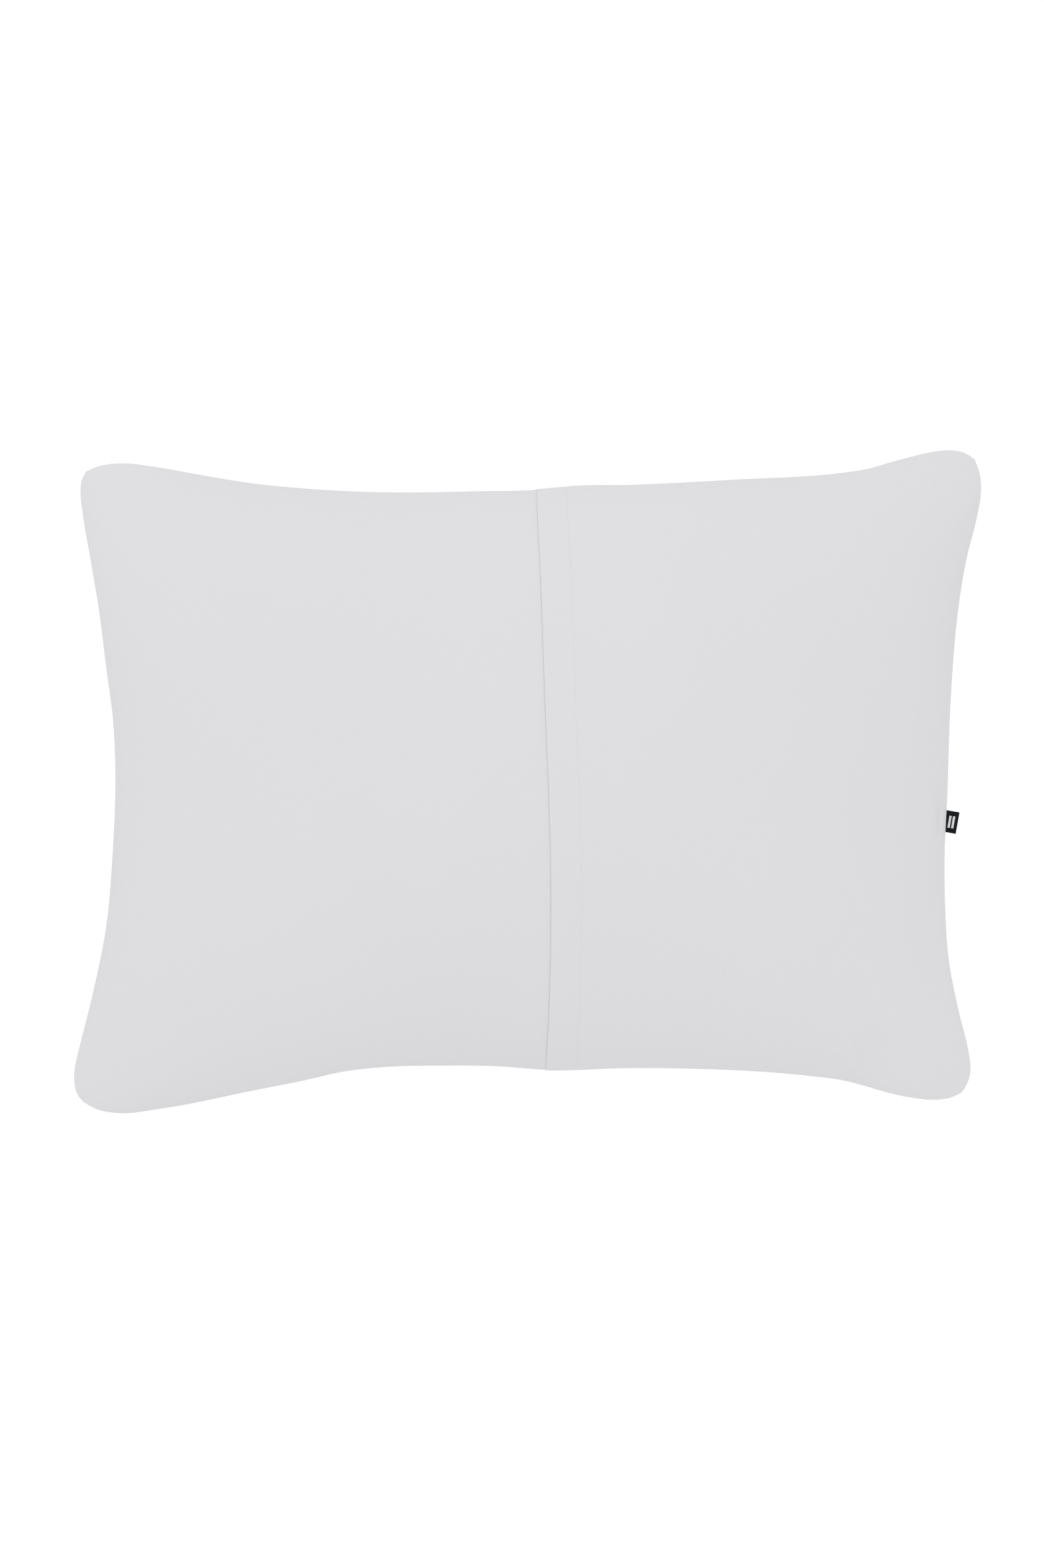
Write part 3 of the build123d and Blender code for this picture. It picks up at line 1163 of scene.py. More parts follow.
@dataclass
class Pillowcase:
    """The envelope-closure pillowcase: back panel, left panel with its underlap, right panel with its flap.

    Attributes:
        form: The filled form beneath.
        underlap: How far the left panel runs on beneath the right one, in metres.
        hem: Width of the folded hem at the opening, in metres.
        underlap_hem: Width of the folded hem on the underlap, in metres.
        lift: How far the overlapping cloth stands off the form, in metres.
        rest_lift: How far the right panel stands off it past the underlap, in metres.
        hem_gap: Distance between a hem's two plies, in metres.
        turn: How far the cloth turns in at a seam, in metres.
        pucker: Height of the small waves along the seams, in metres.
        gather: Distance from the seam at which those waves are highest, in metres.
        pieces: The finished pieces by name.
    """

    form: Form
    underlap: float = 0.080
    hem: float = 0.025
    underlap_hem: float = 0.020
    lift: float = 0.85 * MM
    rest_lift: float = 0.1 * MM
    hem_gap: float = 0.42 * MM
    turn: float = 2.2 * MM
    pucker: float = 0.16 * MM
    gather: float = 5 * MM
    pieces: dict[str, bpy.types.Object] = field(default_factory=dict)

    def build(self) -> None:
        """Builds and dresses all three panels."""
        self.pieces["case_back"] = self.back_panel()
        self.pieces["case_left"] = self.left_panel()
        self.pieces["case_right"] = self.right_panel()

    def puckered(self, grid: np.ndarray, seed: float) -> np.ndarray:
        """Gathers the cloth a little along the seams, in small waves that fade inwards.

        Args:
            grid: Points of one side of the form.
            seed: Where the waves start, so that two sides differ.

        Returns:
            The gathered points.
        """
        x, y = grid[:, :, 0], grid[:, :, 1]
        wave_x = np.sin(x * 232 + seed + 2.2 * np.sin(x * 37 + seed)) + 0.6 * np.sin(x * 131 - seed)
        wave_y = np.sin(y * 219 - seed + 2.0 * np.sin(y * 41 + seed)) + 0.6 * np.sin(y * 121 + seed)
        rise = np.zeros_like(x)
        for axis, wave in ((0, wave_x), (1, wave_y)):
            away = self.form.edge_distance(axis) / self.gather
            rise += wave * away * np.exp(1 - away)
        return lay(grid, self.pucker * rise)

    def turned(
        self, grid: np.ndarray, free: FreeEdge, up: float
    ) -> tuple[list[int], tuple[np.ndarray, ...]]:
        """Turns the cloth's sewn edges in, as at a seam that is sewn inside out.

        Args:
            grid: The panel's points, whose sewn edge is lifted a little off the seam.
            free: The side that isn't sewn.
            up: 1 for the upper side and -1 for the lower side, which way the cloth leaves the seam.

        Returns:
            The point numbers along the sewn edge, and the rings of points that turn in from it.
        """
        path = sewn_path(*grid.shape[:2], free)
        points = grid.reshape(-1, 3)
        edge = points[path].copy()
        inner = self.inward(edge, closed=free is FreeEdge.NONE)
        above = np.array([0, 0, up])
        lifted, rolled, tucked = above * 0.5 * MM, inner * 0.35 * MM, above * 0.12 * MM
        points[path] = edge + lifted
        return path, (edge + rolled + tucked, edge + inner * self.turn + tucked)

    @staticmethod
    def inward(edge: np.ndarray, closed: bool) -> np.ndarray:
        """Level directions into the pillow from points along its edge.

        Args:
            edge: The points, which may turn back where a hem is folded under.
            closed: True if the edge goes all round, its first point repeated at the end.

        Returns:
            One direction for each point, pointing to the pillow's inside.
        """
        run = np.gradient(edge, axis=0)
        if closed:
            run[0] = run[-1] = edge[1] - edge[-2]
        sideways = np.stack([-run[:, 1], run[:, 0], np.zeros(len(run))], axis=1)
        outward = (sideways * edge).sum(axis=1) > 0
        sideways[outward] *= -1
        for _ in range(2):
            sideways[1:-1] = (sideways[:-2] + sideways[1:-1] + sideways[2:]) / 3
        return sideways / np.maximum(np.linalg.norm(sideways, axis=1, keepdims=True), TINY)

    def hemmed(self, grid: np.ndarray, width: float, gap: float, first: bool) -> np.ndarray:
        """Folds a free edge under, to a hem.

        Args:
            grid: The panel's points.
            width: Width of the hem, in metres.
            gap: Distance between the two plies, in metres.
            first: True if the free edge is the first column, False if it's the last.

        Returns:
            The grid with the folded ply added.
        """
        work = grid if first else grid[:, ::-1]
        normal = grid_normals(grid) if first else grid_normals(grid)[:, ::-1]
        out = work[:, 0] - work[:, 1]
        out /= np.linalg.norm(out, axis=1, keepdims=True)
        edge, n = work[:, 0], normal[:, 0]
        radius = gap / 2
        bend = [
            edge + out * (radius * math.sin(turn)) - n * (radius * (1 - math.cos(turn)))
            for turn in (math.radians(35), math.radians(90), math.radians(145))
        ]
        count = max(2, round(width / self.form.spacing))
        under = work[:, : count + 1] - normal[:, : count + 1] * gap
        extra = np.stack([*[under[:, i] for i in range(count, -1, -1)], *bend[::-1]], axis=1)
        hemmed = np.concatenate([extra, work], axis=1)
        return hemmed if first else hemmed[:, ::-1]

    def sheet(
        self, name: str, grid: np.ndarray, free: FreeEdge = FreeEdge.NONE, up: float = 1.0
    ) -> bpy.types.Object:
        """Makes one panel's mesh, its sewn edges turned in.

        Args:
            name: The piece's name.
            grid: The panel's points.
            free: The side that isn't sewn.
            up: 1 for an upper panel and -1 for the lower one.

        Returns:
            The finished mesh.
        """
        flat = flat_cloth(grid, len(grid) // 2, grid.shape[1] // 2)
        grid = np.ascontiguousarray(grid)
        path, rings = self.turned(grid, free, up)
        return ClothSheet(name, grid, flat, turned=rings, path=path).mesh(outward=up > 0)

    def back_panel(self) -> bpy.types.Object:
        """The panel underneath, sewn on all four sides and smooth where it rests.

        Returns:
            The finished piece.
        """
        base = self.form.base.copy()
        free = smoothstep(base[:, :, 2], 12 * MM, 30 * MM)[:, :, None]
        base = base * (1 - free) + self.puckered(base, BACK_WAVES) * free
        piece = self.sheet("case_back", base, up=-1.0)
        finish_piece(piece, Cloth.CASE.value, ["case_back_panel"], PILLOW)
        return piece

    def left_panel(self) -> bpy.types.Object:
        """The left panel, which runs on beneath the flap and ends in its own hem.

        Returns:
            The finished piece.
        """
        extra = round(self.underlap / self.form.spacing)
        grid = self.puckered(self.form.top, PANEL_WAVES)[:, : self.form.closure + extra + 1]
        grid = self.hemmed(grid, self.underlap_hem, self.hem_gap, first=False)
        piece = self.sheet("case_left", grid, FreeEdge.RIGHT)
        finish_piece(piece, Cloth.CASE.value, ["case_left_panel", "underlap_hem"], PILLOW)
        return piece

    def right_grid(self) -> np.ndarray:
        """Points of the right panel's upper ply, standing off the underlap.

        Returns:
            The grid, its first column along the opening's edge.
        """
        top = self.puckered(self.form.top, PANEL_WAVES)
        distance = (np.arange(top.shape[1]) - self.form.closure) * self.form.spacing
        ease = 1.0 - smoothstep(distance, 75 * MM, 140 * MM)
        ends = smoothstep(self.form.edge_distance(0), 0.0, 16 * MM)
        lift = self.rest_lift + (self.lift - self.rest_lift) * ease[None, :] * (0.6 + 0.4 * ends)
        return lay(top, lift)[:, self.form.closure :]

    def right_panel(self) -> bpy.types.Object:
        """The right panel, which lies on top and opens along its hem.

        Returns:
            The finished piece.
        """
        grid = self.hemmed(self.right_grid(), self.hem, self.hem_gap, first=True)
        piece = self.sheet("case_right", grid, FreeEdge.LEFT)
        finish_piece(
            piece,
            Cloth.CASE.value,
            ["case_right_panel", "closure_flap", "flap_hem", "hem_ends"],
        )
        open_with_flap(piece)
        return piece


def open_with_flap(piece: bpy.types.Object) -> None:
    """Lets a piece bend up with the flap, while its ends stay sewn down.

    Args:
        piece: A mesh on the right panel.
    """
    low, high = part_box("closure_flap")
    hinge, middle = high.x, (low.y + high.y) / 2
    start, end = (hinge + 22 * MM, middle, 0), (hinge - 42 * MM, middle, 0)
    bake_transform(piece, PILLOW, FLAP, start=start, end=end)
    weights = np.zeros(len(piece.data.vertices), np.float32)
    attribute = piece.data.attributes["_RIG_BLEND"]
    attribute.data.foreach_get("value", weights)
    away = np.array([abs(v.co.y - middle) for v in piece.data.vertices])
    level = 45 * MM
    weights *= 1.0 - smoothstep(away, level, (high.y - low.y) / 2 + level)
    attribute.data.foreach_set("value", weights.astype(np.float32))


@dataclass
class Insert:
    """The pillow inside the case: two ticking panels, their seam and the fibre filling.

    Attributes:
        form: The filled form of the case.
        shrink: How much smaller the ticking is than the case, along X, Y and Z.
        core: How much smaller the fibre is than the case, along X, Y and Z.
        panel_gap: How far the two ticking panels stand apart at their seam, in metres.
        fill: How tightly the case is filled, from 0 to 1; not used.
        pieces: The finished pieces by name.
    """

    form: Form
    shrink: tuple[float, float, float] = (0.955, 0.938, 0.980)
    core: tuple[float, float, float] = (0.951, 0.934, 0.972)
    panel_gap: float = 0.3 * MM
    fill: float = 0.85
    pieces: dict[str, bpy.types.Object] = field(default_factory=dict)

    def build(self) -> None:
        """Builds and dresses the insert."""
        middle = self.form.top.shape[0] // 2, self.form.top.shape[1] // 2
        for name, grid, outward in (
            ("ticking_upper", self.form.top, True),
            ("ticking_lower", self.form.base, False),
        ):
            shell = self.shrunk(grid, self.shrink)
            if not outward:
                shell[:, :, 2] -= self.panel_gap * (shell[:, :, 2] > self.form.seam_height - 1 * MM)
            piece = ClothSheet(name, shell, flat_cloth(shell, *middle)).mesh(outward, smooth=0)
            node = "ticking_top" if outward else "ticking_bottom"
            finish_piece(piece, Cloth.TICKING.value, [node], PILLOW)
            self.pieces[name] = piece
        self.pieces["fibre_core"] = self.fibre()
        self.pieces["insert_seam"] = self.edge_binding()

    def shrunk(self, grid: np.ndarray, scale: tuple[float, float, float]) -> np.ndarray:
        """A copy of one side of the form, drawn in towards the middle of the pillow."""
        centre = np.array([0.0, 0.0, self.form.seam_height])
        return centre + (grid - centre) * np.array(scale)

    def fibre(self) -> bpy.types.Object:
        """The fibre filling, one closed crowned form.

        Returns:
            The finished piece.
        """
        upper, lower = self.shrunk(self.form.top, self.core), self.shrunk(self.form.base, self.core)
        points, faces, _ = closed_skin(upper, lower)
        piece = mesh_piece("fibre_core", points, faces)
        flat_layer(piece, points[:, :2])
        finish_piece(piece, Cloth.FIBRE.value, ["fibre_fill"], PILLOW)
        return piece

    def edge_binding(self) -> bpy.types.Object:
        """The overlocked edge that runs all round the ticking.

        Returns:
            The finished piece.
        """
        edge = outline_ring(self.shrunk(self.form.top, self.shrink))
        near, far, thickness = -0.2 * MM, -3.8 * MM, 2.0 * MM
        piece = band("insert_seam", edge, near, far, thickness)
        finish_piece(piece, Cloth.TICKING.value, ["ticking_seam"], PILLOW)
        return piece


def outline_ring(grid: np.ndarray) -> np.ndarray:
    """The points round the edge of a grid, once round anticlockwise."""
    return np.concatenate([grid[0, :-1], grid[:-1, -1], grid[-1, :0:-1], grid[:0:-1, 0]])


def band(
    name: str,
    edge: np.ndarray,
    near: float,
    far: float,
    thickness: float,
    closed: bool = True,
) -> bpy.types.Object:
    """A flat sewn band that follows an edge.

    Args:
        name: The piece's name.
        edge: Points along the edge, anticlockwise round the pillow.
        near: Distance inwards from the edge to the band's near side; a negative one is outside the edge.
        far: Distance inwards to its far side.
        thickness: The band's thickness.
        closed: True if the band goes all round.

    Returns:
        The finished mesh.
    """
    if closed:
        run = np.roll(edge, -1, axis=0) - np.roll(edge, 1, axis=0)
    else:
        run = np.gradient(edge, axis=0)
    inner = np.stack([-run[:, 1], run[:, 0], np.zeros(len(run))], axis=1)
    inner /= np.maximum(np.linalg.norm(inner, axis=1, keepdims=True), TINY)
    half = thickness / 2
    rounding, shoulder = 0.12 * (far - near), 0.6
    section = (
        (near, 0.0), (near, shoulder), (near + rounding, 1.0), (far - rounding, 1.0),
        (far, shoulder), (far, -shoulder), (far - rounding, -1.0), (near + rounding, -1.0),
        (near, -shoulder),
    )
    ripple = 1.0 + 0.18 * np.sin(np.arange(len(edge)) * 2.4)
    rings = [
        edge + inner * across + np.outer(ripple, (0, 0, half * up)) for across, up in section
    ]
    points = np.stack(rings, axis=1).reshape(-1, 3)
    size, count = len(section), len(edge)
    sign = 1 if far > near else -1
    faces = []
    for i in range(count if closed else count - 1):
        j = (i + 1) % count
        for k in range(size):
            m = (k + 1) % size
            quad = (i * size + k, j * size + k, j * size + m, i * size + m)
            faces.append(quad if sign < 0 else tuple(reversed(quad)))
    if not closed:
        start = tuple(range(size))
        end = tuple(reversed([(count - 1) * size + k for k in range(size)]))
        faces += [start, end] if sign > 0 else [start[::-1], end[::-1]]
    piece = mesh_piece(name, points, faces)
    number = np.arange(len(points))
    flat_layer(piece, np.stack([lengths(edge)[number // size], (number % size) * 1.1 * MM], axis=1))
    make_active(piece)
    bpy.ops.object.mode_set(mode="EDIT")
    bpy.ops.mesh.select_all(action="SELECT")
    bpy.ops.mesh.normals_make_consistent(inside=False)
    bpy.ops.object.mode_set(mode="OBJECT")
    return piece


@dataclass
class Seams:
    """The four overlocked seam allowances, turned inside the case.

    Attributes:
        form: The filled form.
        near: Distance from the outline to the allowance's outer side, in metres.
        far: Distance from the outline to its raw side, in metres.
        thickness: Thickness of the allowance with its overlock thread, in metres.
        pieces: The finished pieces by side.
    """

    form: Form
    near: float = 1.4 * MM
    far: float = 9.8 * MM
    thickness: float = 1.3 * MM
    pieces: dict[str, bpy.types.Object] = field(default_factory=dict)

    def build(self) -> None:
        """Builds and dresses one allowance on each side."""
        top = self.form.top
        edges = {
            "bottom": top[0],
            "right": top[:, -1],
            "top": top[-1, ::-1],
            "left": top[::-1, 0],
        }
        for side, edge in edges.items():
            level = edge.copy()
            level[:, 2] = self.form.seam_height
            sizes = (self.near, self.far, self.thickness)
            piece = band(f"allowance_{side}", level[1:-1], *sizes, closed=False)
            finish_piece(piece, Cloth.THREAD.value, [f"seam_{side}"], PILLOW)
            self.pieces[side] = piece


@dataclass
class Stitches:
    """Rows of sewing stitches.

    Attributes:
        length: Length of one stitch, in metres.
        gap: Space between two stitches, in metres.
        radius: Radius of the thread, in metres.
    """

    length: float = 2.6 * MM
    gap: float = 0.7 * MM
    radius: float = 0.12 * MM

    def single(self) -> tuple[np.ndarray, list[tuple[int, ...]]]:
        """Models one stitch: a short thread whose ends dive into the cloth.

        Returns:
            Its points, with X along the thread, and its faces.
        """
        shank, taper = 0.62, 0.55
        dive, sink = self.length * (1 - shank) / 2, self.radius * 1.4
        deselect_all()
        bpy.ops.mesh.primitive_cylinder_add(
            vertices=6, radius=self.radius, depth=self.length * shank, rotation=(0, math.pi / 2, 0)
        )
        stitch = bpy.context.active_object
        bpy.ops.object.transform_apply(location=True, rotation=True, scale=True)
        bpy.ops.object.mode_set(mode="EDIT")
        bpy.ops.mesh.select_all(action="DESELECT")
        bpy.ops.object.mode_set(mode="OBJECT")
        for end in (-1, 1):
            for polygon in stitch.data.polygons:
                polygon.select = polygon.normal.x * end > 0.9
            bpy.ops.object.mode_set(mode="EDIT")
            reach = (end * dive, 0, -sink)
            bpy.ops.mesh.extrude_region_move(TRANSFORM_OT_translate={"value": reach})
            bpy.ops.transform.resize(value=(taper, taper, taper))
            bpy.ops.mesh.select_all(action="DESELECT")
            bpy.ops.object.mode_set(mode="OBJECT")
        points = np.array([v.co for v in stitch.data.vertices], float)
        faces = [tuple(p.vertices) for p in stitch.data.polygons]
        bpy.data.objects.remove(stitch)
        return points, faces

    def row(self, name: str, path: np.ndarray, normal: np.ndarray) -> bpy.types.Object:
        """Sews a row of stitches along a path.

        Args:
            name: The piece's name.
            path: Points along the row, on the cloth.
            normal: Directions out of the cloth at those points.

        Returns:
            One mesh with every stitch of the row.
        """
        along = lengths(path)
        pitch = self.length + self.gap
        count = max(1, int(along[-1] / pitch))
        points, faces = self.single()
        all_points, all_faces = [], []
        for i in range(count):
            at = (i + 0.5) * pitch
            ends = [
                np.array([np.interp(at + d, along, path[:, k]) for k in range(3)])
                for d in (-self.length / 2, self.length / 2)
            ]
            up = np.array([np.interp(at, along, normal[:, k]) for k in range(3)])
            forward = (ends[1] - ends[0]) / np.linalg.norm(ends[1] - ends[0])
            side = np.cross(up, forward)
            side /= np.linalg.norm(side)
            up = np.cross(forward, side)
            centre = (ends[0] + ends[1]) / 2 + up * self.radius * 0.3
            placed = centre + points @ np.stack([forward, side, up])
            all_faces += [tuple(n + i * len(points) for n in f) for f in faces]
            all_points.append(placed)
        piece = mesh_piece(name, np.concatenate(all_points), all_faces)
        flat_layer(piece, np.tile(points[:, :2], (count, 1)))
        return piece


@dataclass
class Sewing:
    """Every visible or hidden row of stitches.

    Attributes:
        case: The pillowcase.
        insert: The pillow inside it.
        hem_inset: Distance from a hem's inner fold to its stitches, in metres.
        closed_steps: How many grid steps of the insert's side are topstitched each way.
        pieces: The finished rows by name.
    """

    case: Pillowcase
    insert: Insert
    hem_inset: float = 2.5 * MM
    closed_steps: int = 12
    pieces: dict[str, bpy.types.Object] = field(default_factory=dict)

    def build(self) -> None:
        """Sews the hems and the insert's closed length."""
        form = self.case.form
        stitches = Stitches()
        hem = self.column_at(self.case.right_grid(), self.case.hem - self.hem_inset)
        piece = stitches.row("hem_stitches", *hem)
        finish_piece(piece, Cloth.THREAD.value, ["flap_hem_stitch", "hem_end_stitch"])
        open_with_flap(piece)
        self.pieces["hem"] = piece
        offset = self.case.underlap - self.case.underlap_hem + self.hem_inset
        under = self.case.puckered(form.top, PANEL_WAVES)[:, form.closure :]
        piece = stitches.row("underlap_stitches", *self.column_at(under, offset))
        finish_piece(piece, Cloth.THREAD.value, ["underlap_hem_stitch"], PILLOW)
        self.pieces["underlap"] = piece
        edge = self.insert.shrunk(form.top, self.insert.shrink)[:, -1]
        half = len(edge) // 2
        on_binding = np.array([1.8 * MM, 0, 1.1 * MM])
        edge = edge[half - self.closed_steps : half + self.closed_steps + 1] + on_binding
        up = np.tile([0.0, 0.0, 1.0], (len(edge), 1))
        piece = stitches.row("closing_stitches", edge, up)
        finish_piece(piece, Cloth.THREAD.value, ["ticking_closing_stitch"], PILLOW)
        self.pieces["closing"] = piece

    @staticmethod
    def column_at(grid: np.ndarray, distance: float) -> tuple[np.ndarray, np.ndarray]:
        """Finds the line on a grid at a distance from its first column.

        Args:
            grid: The points.
            distance: The distance, in metres along the rows.

        Returns:
            The line's points, and the normals along it.
        """
        normal = grid_normals(grid)
        path, out = [], []
        for points, normals in zip(grid[1:-1], normal[1:-1]):
            along = lengths(points)
            path.append([np.interp(distance, along, points[:, k]) for k in range(3)])
            out.append([np.interp(distance, along, normals[:, k]) for k in range(3)])
        return np.array(path), np.array(out)


@dataclass
class WovenLabel:
    """The folded ribbon tab in the right side seam.

    Attributes:
        form: The filled form.
        width: The ribbon's width, in metres.
        reach: How far the fold stands out of the seam, in metres.
        tail: How far the ends run inside the seam, in metres.
        lean: How far the tab leans off square, in degrees.
        ply: Distance between the ribbon's two plies, in metres.
        columns: How many points lie across the ribbon.
        thickness: The ribbon's thickness, in metres.
        bend: Where the tab starts to bend and where it follows wholly, from the seam, in metres.
    """

    form: Form
    width: float = 16.8 * MM
    reach: float = 9.0 * MM
    tail: float = 7.5 * MM
    lean: float = -10.0
    ply: float = 0.62 * MM
    columns: int = 13
    thickness: float = 0.3 * MM
    bend: tuple[float, float] = (-0.4 * MM, 3.4 * MM)

    def build(self) -> None:
        """Builds the tab and its hidden tail's stitches."""
        low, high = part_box("woven_label")
        edge = self.form.top[:, -1]
        y = (low.y + high.y) / 2
        root = np.array([np.interp(y, edge[:, 1], edge[:, 0]), y, self.form.seam_height])
        lean = math.radians(self.lean)
        out = np.array([math.cos(lean), math.sin(lean), 0])
        across = np.array([-out[1], out[0], 0])
        piece = ClothSheet("label_tab", *self.ribbon(root, out, across), self.thickness).mesh()
        finish_piece(piece, Cloth.RIBBON.value, ["woven_label", "label_tail"])
        x, y, z = (float(value) for value in root)
        start, end = ((x + reach, y, z) for reach in self.bend)
        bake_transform(piece, PILLOW, LABEL, start=start, end=end)
        self.tail_stitches(root, out, across)

    def ribbon(
        self, root: np.ndarray, out: np.ndarray, across: np.ndarray
    ) -> tuple[np.ndarray, np.ndarray]:
        """Lays the folded ribbon, its corners curled a little.

        Args:
            root: The middle of the label's edge at the seam.
            out: The direction that the label points in.
            across: The direction across the ribbon.

        Returns:
            The ribbon's points, and their places on the flat ribbon.
        """
        section, travel = self.section()
        grid = np.zeros((self.columns, len(section), 3))
        flat = np.zeros((self.columns, len(section), 2))
        for i, share in enumerate(np.linspace(-1, 1, self.columns)):
            curl = 0.5 * MM * share * share + 0.25 * MM * share
            for k, (x, z) in enumerate(section):
                bow = curl * max(0.0, x / self.reach) ** 2
                grid[i, k] = root + out * x + across * share * self.width / 2
                grid[i, k, 2] += z + bow
                flat[i, k] = (travel[k], share * self.width / 2)
        return grid, flat

    def section(self) -> tuple[list[tuple[float, float]], list[float]]:
        """The ribbon's path out of the seam, round its fold and back.

        Returns:
            Points as distance out and height, and the distance of each from the fold along the ribbon.
        """
        half, swell = self.ply / 2, 0.12 * MM
        out = [-self.tail, -4 * MM, -1 * MM, 0.5 * MM, 2 * MM, 4 * MM, 6 * MM, 7.6 * MM, 8.4 * MM]
        upper = [(x, half + swell * math.sin(x / self.reach * math.pi)) for x in out]
        shoulder = (self.reach - 0.18 * MM, half * 0.75)
        fold = [shoulder, (self.reach, 0.0), (shoulder[0], -shoulder[1])]
        lower = [(x, -z) for x, z in reversed(upper)]
        travel = [self.reach - x for x, _ in upper] + [0.1 * MM]
        travel = [*travel, 0.0, *(-length for length in reversed(travel))]
        return upper + fold + lower, travel

    def tail_stitches(self, root: np.ndarray, out: np.ndarray, across: np.ndarray) -> None:
        """Sews the tail into the seam allowance.

        Args:
            root: The middle of the label's edge at the seam.
            out: The direction that the label points in.
            across: The direction across the ribbon.
        """
        half_span, inside, above = 0.42 * self.width, 3 * MM, 0.7 * MM
        steps = np.linspace(-half_span, half_span, 9)[:, None]
        path = root - out * inside + across * steps
        path[:, 2] = self.form.seam_height + above
        up = np.tile([0.0, 0.0, 1.0], (len(path), 1))
        piece = Stitches(length=2.0 * MM).row("label_stitches", path, up)
        finish_piece(piece, Cloth.THREAD.value, ["label_stitch"], PILLOW)


@dataclass
class CareLabel:
    """The blank satin tab sewn inside the left seam.

    Attributes:
        form: The filled form.
        gap: How far it hangs off the back panel's inner face, in metres.
        thickness: The satin's thickness, in metres.
    """

    form: Form
    gap: float = 1.1 * MM
    thickness: float = 0.2 * MM

    def build(self) -> None:
        """Builds the tab along the inner face of the back panel."""
        low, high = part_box("care_label")
        base = self.form.base
        near_seam = 3
        rows = [j for j in range(len(base)) if low.y <= base[j, near_seam, 1] <= high.y]
        columns = [i for i in range(base.shape[1]) if low.x <= base[rows[0], i, 0] <= high.x]
        grid = lay(base, self.gap)[rows[0] : rows[-1] + 1, columns[0] : columns[-1] + 1]
        flat = flat_cloth(grid, 0, 0)
        piece = ClothSheet("care_tab", grid, flat, self.thickness).mesh(outward=False)
        finish_piece(piece, Cloth.SATIN.value, ["care_label"], PILLOW)


# ---------------------------------------------------------------- studio


@dataclass(frozen=True)
class Lamp:
    """A round soft light that points at the pillow.

    Attributes:
        name: The light's name.
        place: Where it hangs, in metres.
        size: Its width, in metres.
        power: Its power, in watts.
    """

    name: str
    place: tuple[float, float, float]
    size: float
    power: float

    def hang(self) -> None:
        """Adds the light to the scene."""
        light = bpy.data.lights.new(self.name, "AREA")
        light.shape = "DISK"
        light.size = self.size
        light.energy = self.power
        lamp = bpy.data.objects.new(self.name, light)
        lamp.location = self.place
        towards = Vector(HEART) - Vector(self.place)
        lamp.rotation_euler = towards.to_track_quat("-Z", "Y").to_euler()
        bpy.context.scene.collection.objects.link(lamp)


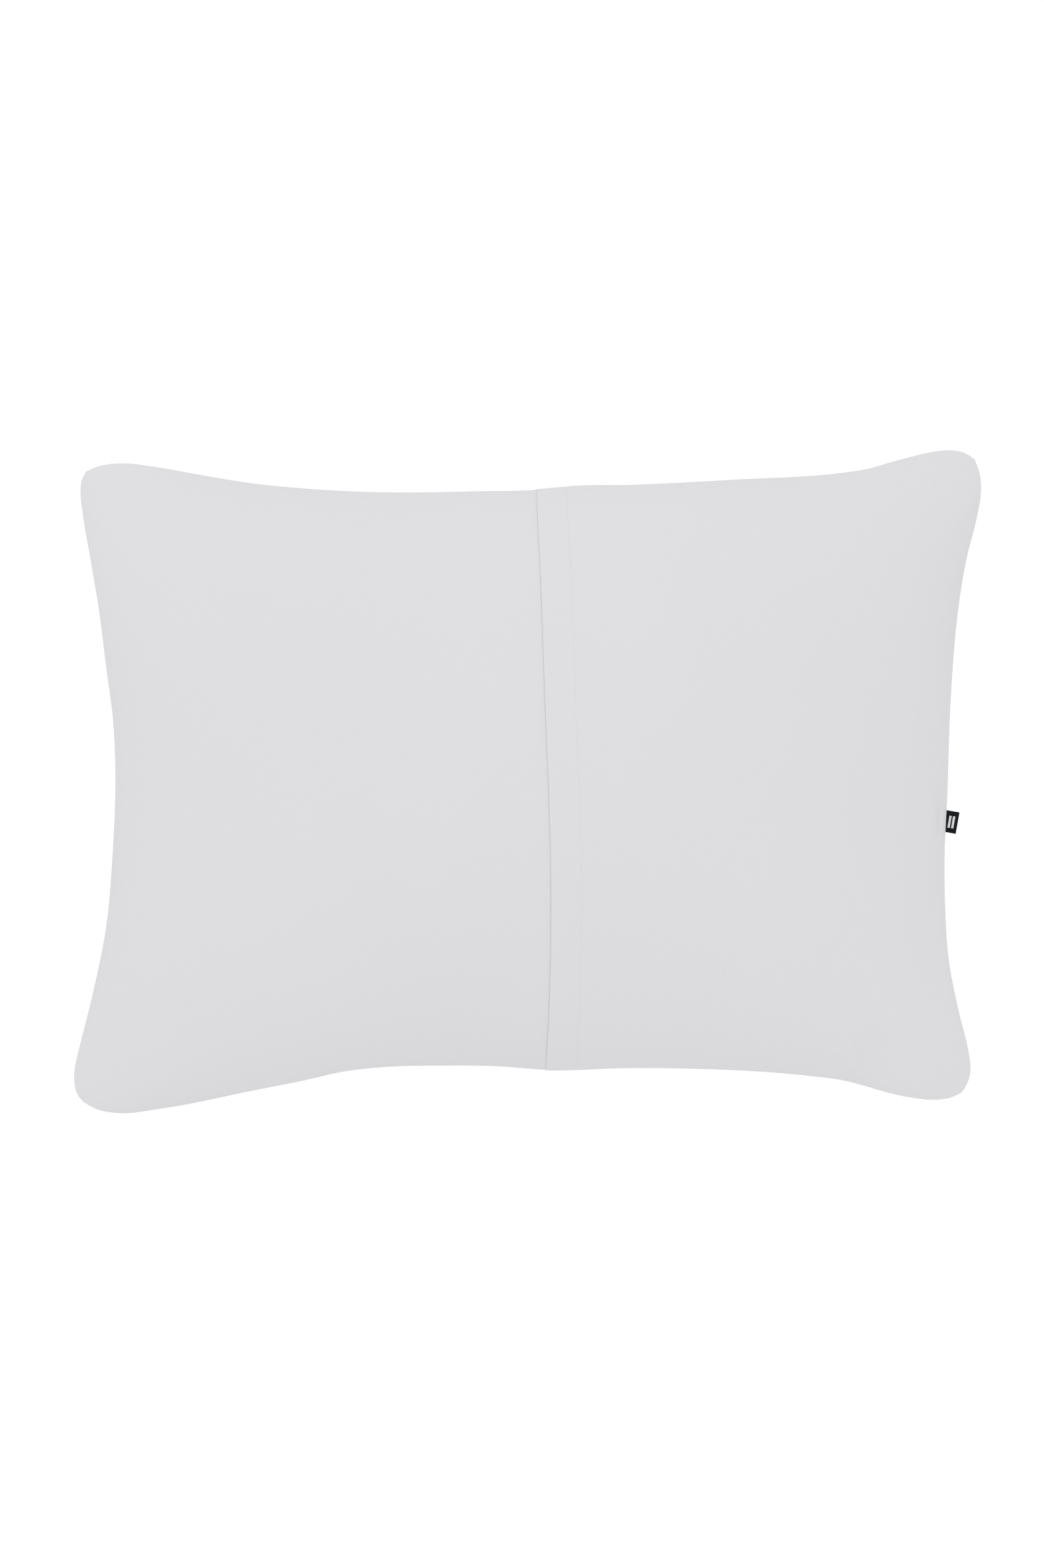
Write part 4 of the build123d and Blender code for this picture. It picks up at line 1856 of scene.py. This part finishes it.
@dataclass
class Studio:
    """The plain floor, the soft light and the camera straight above.

    Attributes:
        view_height: Height of the view at the seams, in metres.
        distance: Height of the camera above the seams, in metres.
        aim: The point in the middle of the view, in metres.
        seam_height: Height of the seams above the floor, in metres.
        floor_size: Width of the floor, in metres.
        floor_glow: Brightness that the floor adds where the camera sees it directly.
        glow_share: How much of the floor's look that brightness makes up.
        surround: Strength of the even light from all round.
        lamps: The soft lights, a key from the upper left and a broad one overhead.
    """

    view_height: float = 1.193478
    distance: float = 5.0
    aim: tuple[float, float] = (-4.1 * MM, -2.0 * MM)
    seam_height: float = 0.072
    floor_size: float = 8.0
    floor_glow: float = 1.25
    glow_share: float = 0.6
    surround: float = 0.937
    lamps: tuple[Lamp, ...] = (
        Lamp("key_light", (-1.2, 2.2, 2.6), 2.2, 7.5),
        Lamp("overhead_light", (0.0, 0.3, 3.4), 2.6, 3.0),
    )

    def build(self) -> None:
        """Builds the floor, the lights and the camera."""
        self.floor()
        self.lights()
        self.camera()
        bpy.context.scene.view_settings.view_transform = "Standard"

    def floor(self) -> None:
        """A wide pale floor under the pillow."""
        deselect_all()
        bpy.ops.mesh.primitive_plane_add(size=self.floor_size, location=(0, 0, 0))
        floor = bpy.context.active_object
        floor.name = "studio_floor"
        material = bpy.data.materials.new("floor_white")
        material.use_nodes = True
        tree = NodeTree(material.node_tree)
        paper = tree.add("BsdfDiffuse", Color=(0.92, 0.92, 0.93, 1.0))
        glow = tree.add("Emission", Color=(1.0, 1.0, 1.0, 1.0), Strength=self.floor_glow)
        both, out, path = tree.add("MixShader"), tree.add("OutputMaterial"), tree.add("LightPath")
        seen = tree.maths("MULTIPLY", path.outputs["Is Camera Ray"], self.glow_share)
        tree.join(seen, both.inputs[0])
        tree.join(paper.outputs[0], both.inputs[1])
        tree.join(glow.outputs[0], both.inputs[2])
        tree.join(both.outputs[0], out.inputs["Surface"])
        floor.data.materials.append(material)

    def lights(self) -> None:
        """An even surround and the soft lamps."""
        world = bpy.data.worlds.new("studio_surround")
        bpy.context.scene.world = world
        world.use_nodes = True
        background = world.node_tree.nodes["Background"]
        background.inputs["Color"].default_value = (1.0, 1.0, 1.0, 1.0)
        background.inputs["Strength"].default_value = self.surround
        for lamp in self.lamps:
            lamp.hang()

    def camera(self) -> None:
        """A long lens straight above, with the top seam at the top of the view."""
        lens = bpy.data.cameras.new("studio_camera")
        lens.sensor_fit = "VERTICAL"
        lens.sensor_height = 36.0
        lens.lens = lens.sensor_height * self.distance / self.view_height
        camera = bpy.data.objects.new("studio_camera", lens)
        camera.location = (*self.aim, self.seam_height + self.distance)
        bpy.context.scene.collection.objects.link(camera)
        bpy.context.scene.camera = camera


# ---------------------------------------------------------------- assembly


def main() -> None:
    """Builds the pillow, piece by piece, and its studio."""
    logging.basicConfig(level=logging.INFO, format="%(name)s: %(message)s")
    form = FilledShape().build()
    insert = Insert(form)
    insert.build()
    case = Pillowcase(form)
    case.build()
    seams = Seams(form)
    seams.build()
    sewing = Sewing(case, insert)
    sewing.build()
    WovenLabel(form).build()
    CareLabel(form).build()
    Studio().build()


if __name__ == "__main__":
    main()
